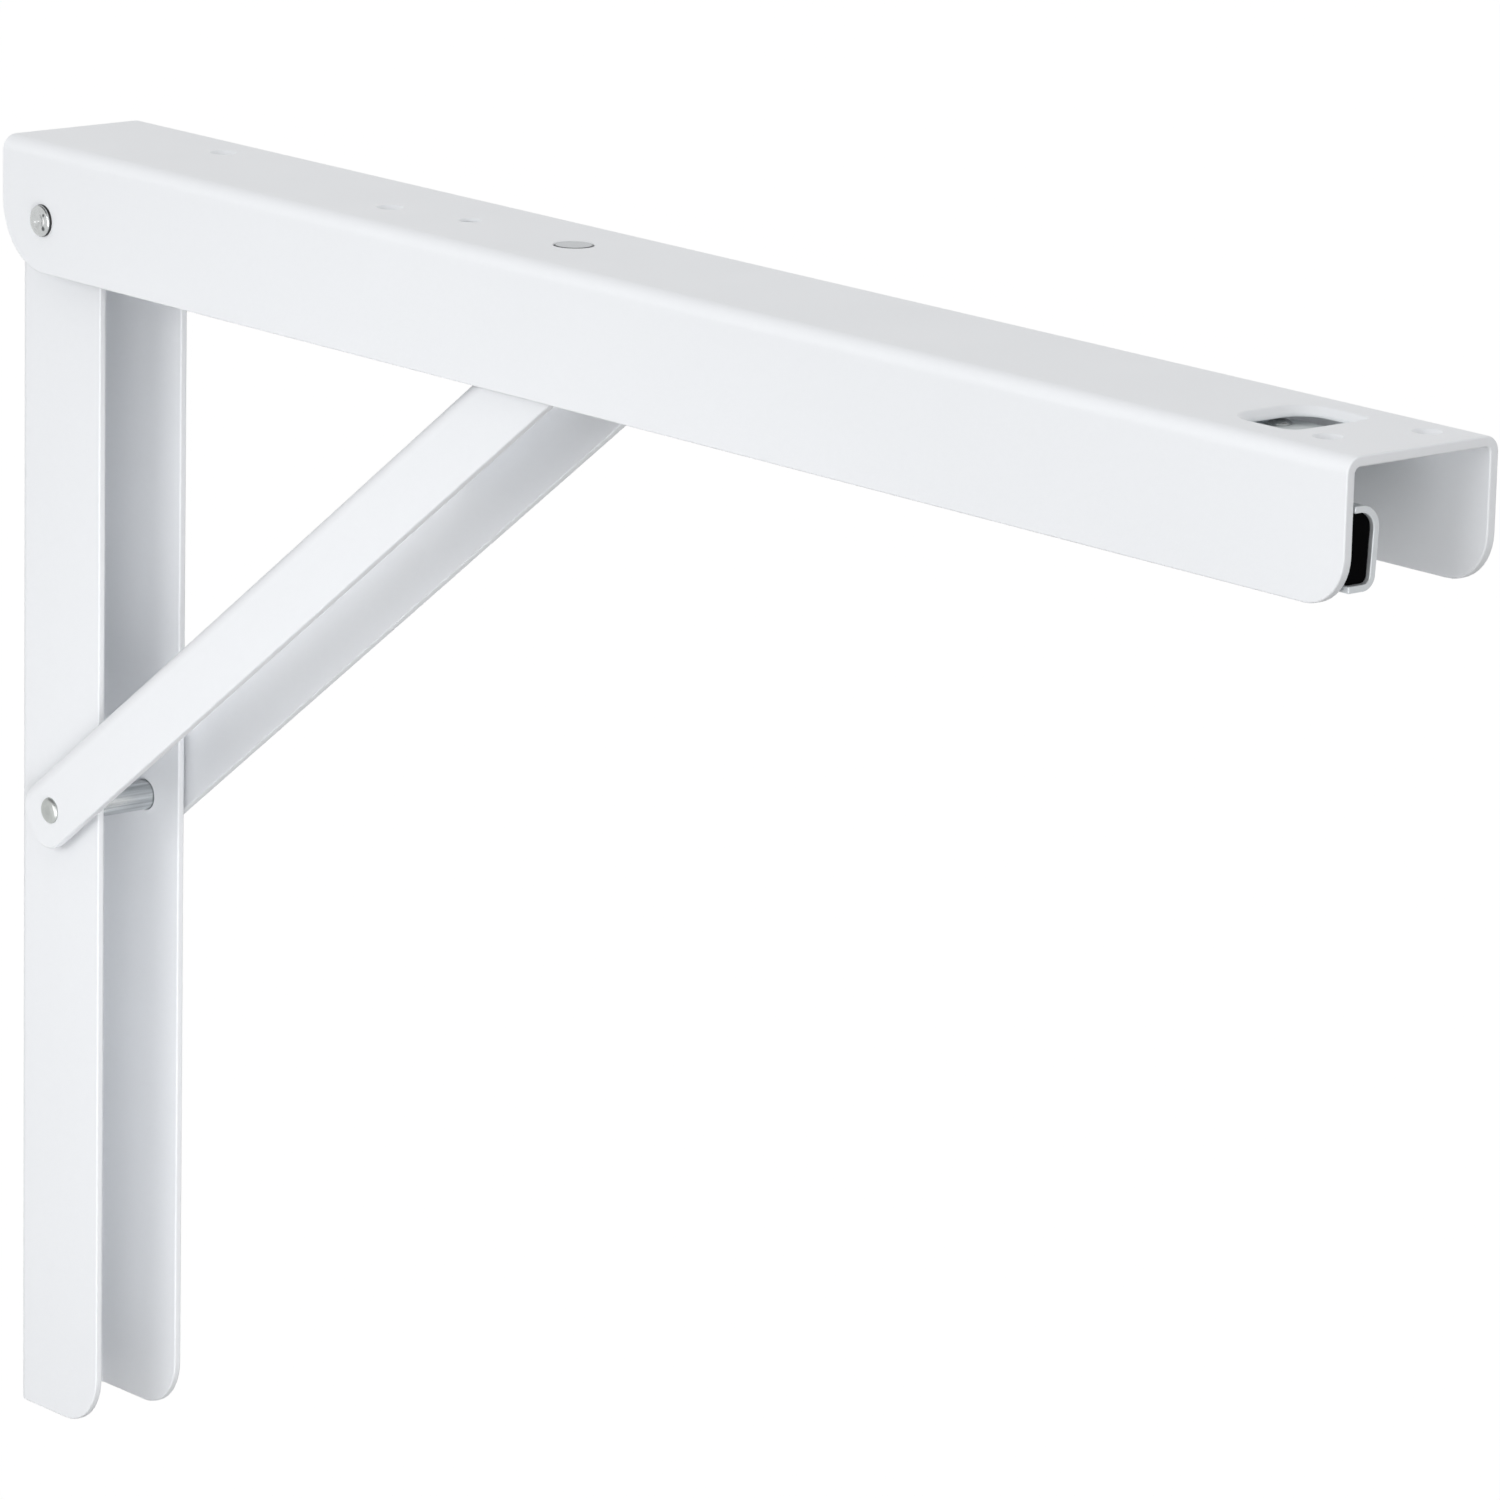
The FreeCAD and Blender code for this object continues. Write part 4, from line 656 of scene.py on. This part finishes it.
def soft_box(name, goal, azimuth, elevation, distance, size, watts, spread=180.0):
    """A square lamp that faces a goal from an azimuth and elevation, at a distance from it."""
    lamp = bpy.data.lights.new(name, "AREA")
    lamp.shape = "SQUARE"
    lamp.size = size
    lamp.energy = watts
    lamp.spread = math.radians(spread)
    box = bpy.data.objects.new(name, lamp)
    box.visible_camera = False
    bpy.context.scene.collection.objects.link(box)
    across, upright, outward = looking(azimuth, elevation)
    pose = Matrix((across, upright, outward)).transposed().to_4x4()
    pose.translation = Vector(goal) + outward * distance
    box.matrix_world = pose


soft_box("front_box", (0.2, 0.0, 0.05), 10.0, 15.0, 2.0, 1.0, 11.4)
soft_box("camera_side_box", (0.2, 0.0, 0.05), 45.0, -10.0, 2.0, 1.0, 12.8)
soft_box("leg_fill", (0.03, 0.0, 0.03), 59.2, -20.2, 0.521, 0.3, 0.15, 70.0)

floor_reach, floor_height, floor_cells = 14.0, -0.62, 14
row = floor_cells + 1
span = np.linspace(-floor_reach, floor_reach, row)
floor_x, floor_y = np.meshgrid(span, span)
floor_points = np.stack([floor_x, floor_y, np.full_like(floor_x, floor_height)], axis=-1).reshape(-1, 3)
corner = np.arange(floor_cells)[:, None] * row + np.arange(floor_cells)
cells = np.stack([corner, corner + 1, corner + row + 1, corner + row], axis=-1).reshape(-1, 4)
floor_mesh = bpy.data.meshes.new("floor")
floor_mesh.from_pydata(floor_points.tolist(), [], cells.tolist())
floor = bpy.data.objects.new("floor", floor_mesh)
bpy.context.scene.collection.objects.link(floor)
floor_paint, shader, place = finish_of("floor_paint", Roughness=0.9)
place.noise(3.0, 3.0).mix(screen(116, 116, 116), screen(120, 120, 120)).into(shader, "Base Color")
tree = floor_paint.node_tree
seen = seen_directly(tree)
glow = seen.node("ShaderNodeEmission", {}, {"Color": (1.0, 1.0, 1.0, 1.0), "Strength": 1.03})
blend = seen.node("ShaderNodeMixShader", {}, {0: seen * 0.97, 1: Wire(tree, shader.outputs["BSDF"]), 2: glow})
below = Wire(tree, tree.nodes.new("ShaderNodeNewGeometry").outputs["Backfacing"])
clear = below.node("ShaderNodeBsdfTransparent")
one_sided = below.node("ShaderNodeMixShader", {}, {0: below, 1: blend, 2: clear})
tree.links.new(one_sided.socket, tree.nodes["Material Output"].inputs["Surface"])
floor_mesh.materials.append(floor_paint)

bpy.context.scene.view_settings.view_transform = "Standard"
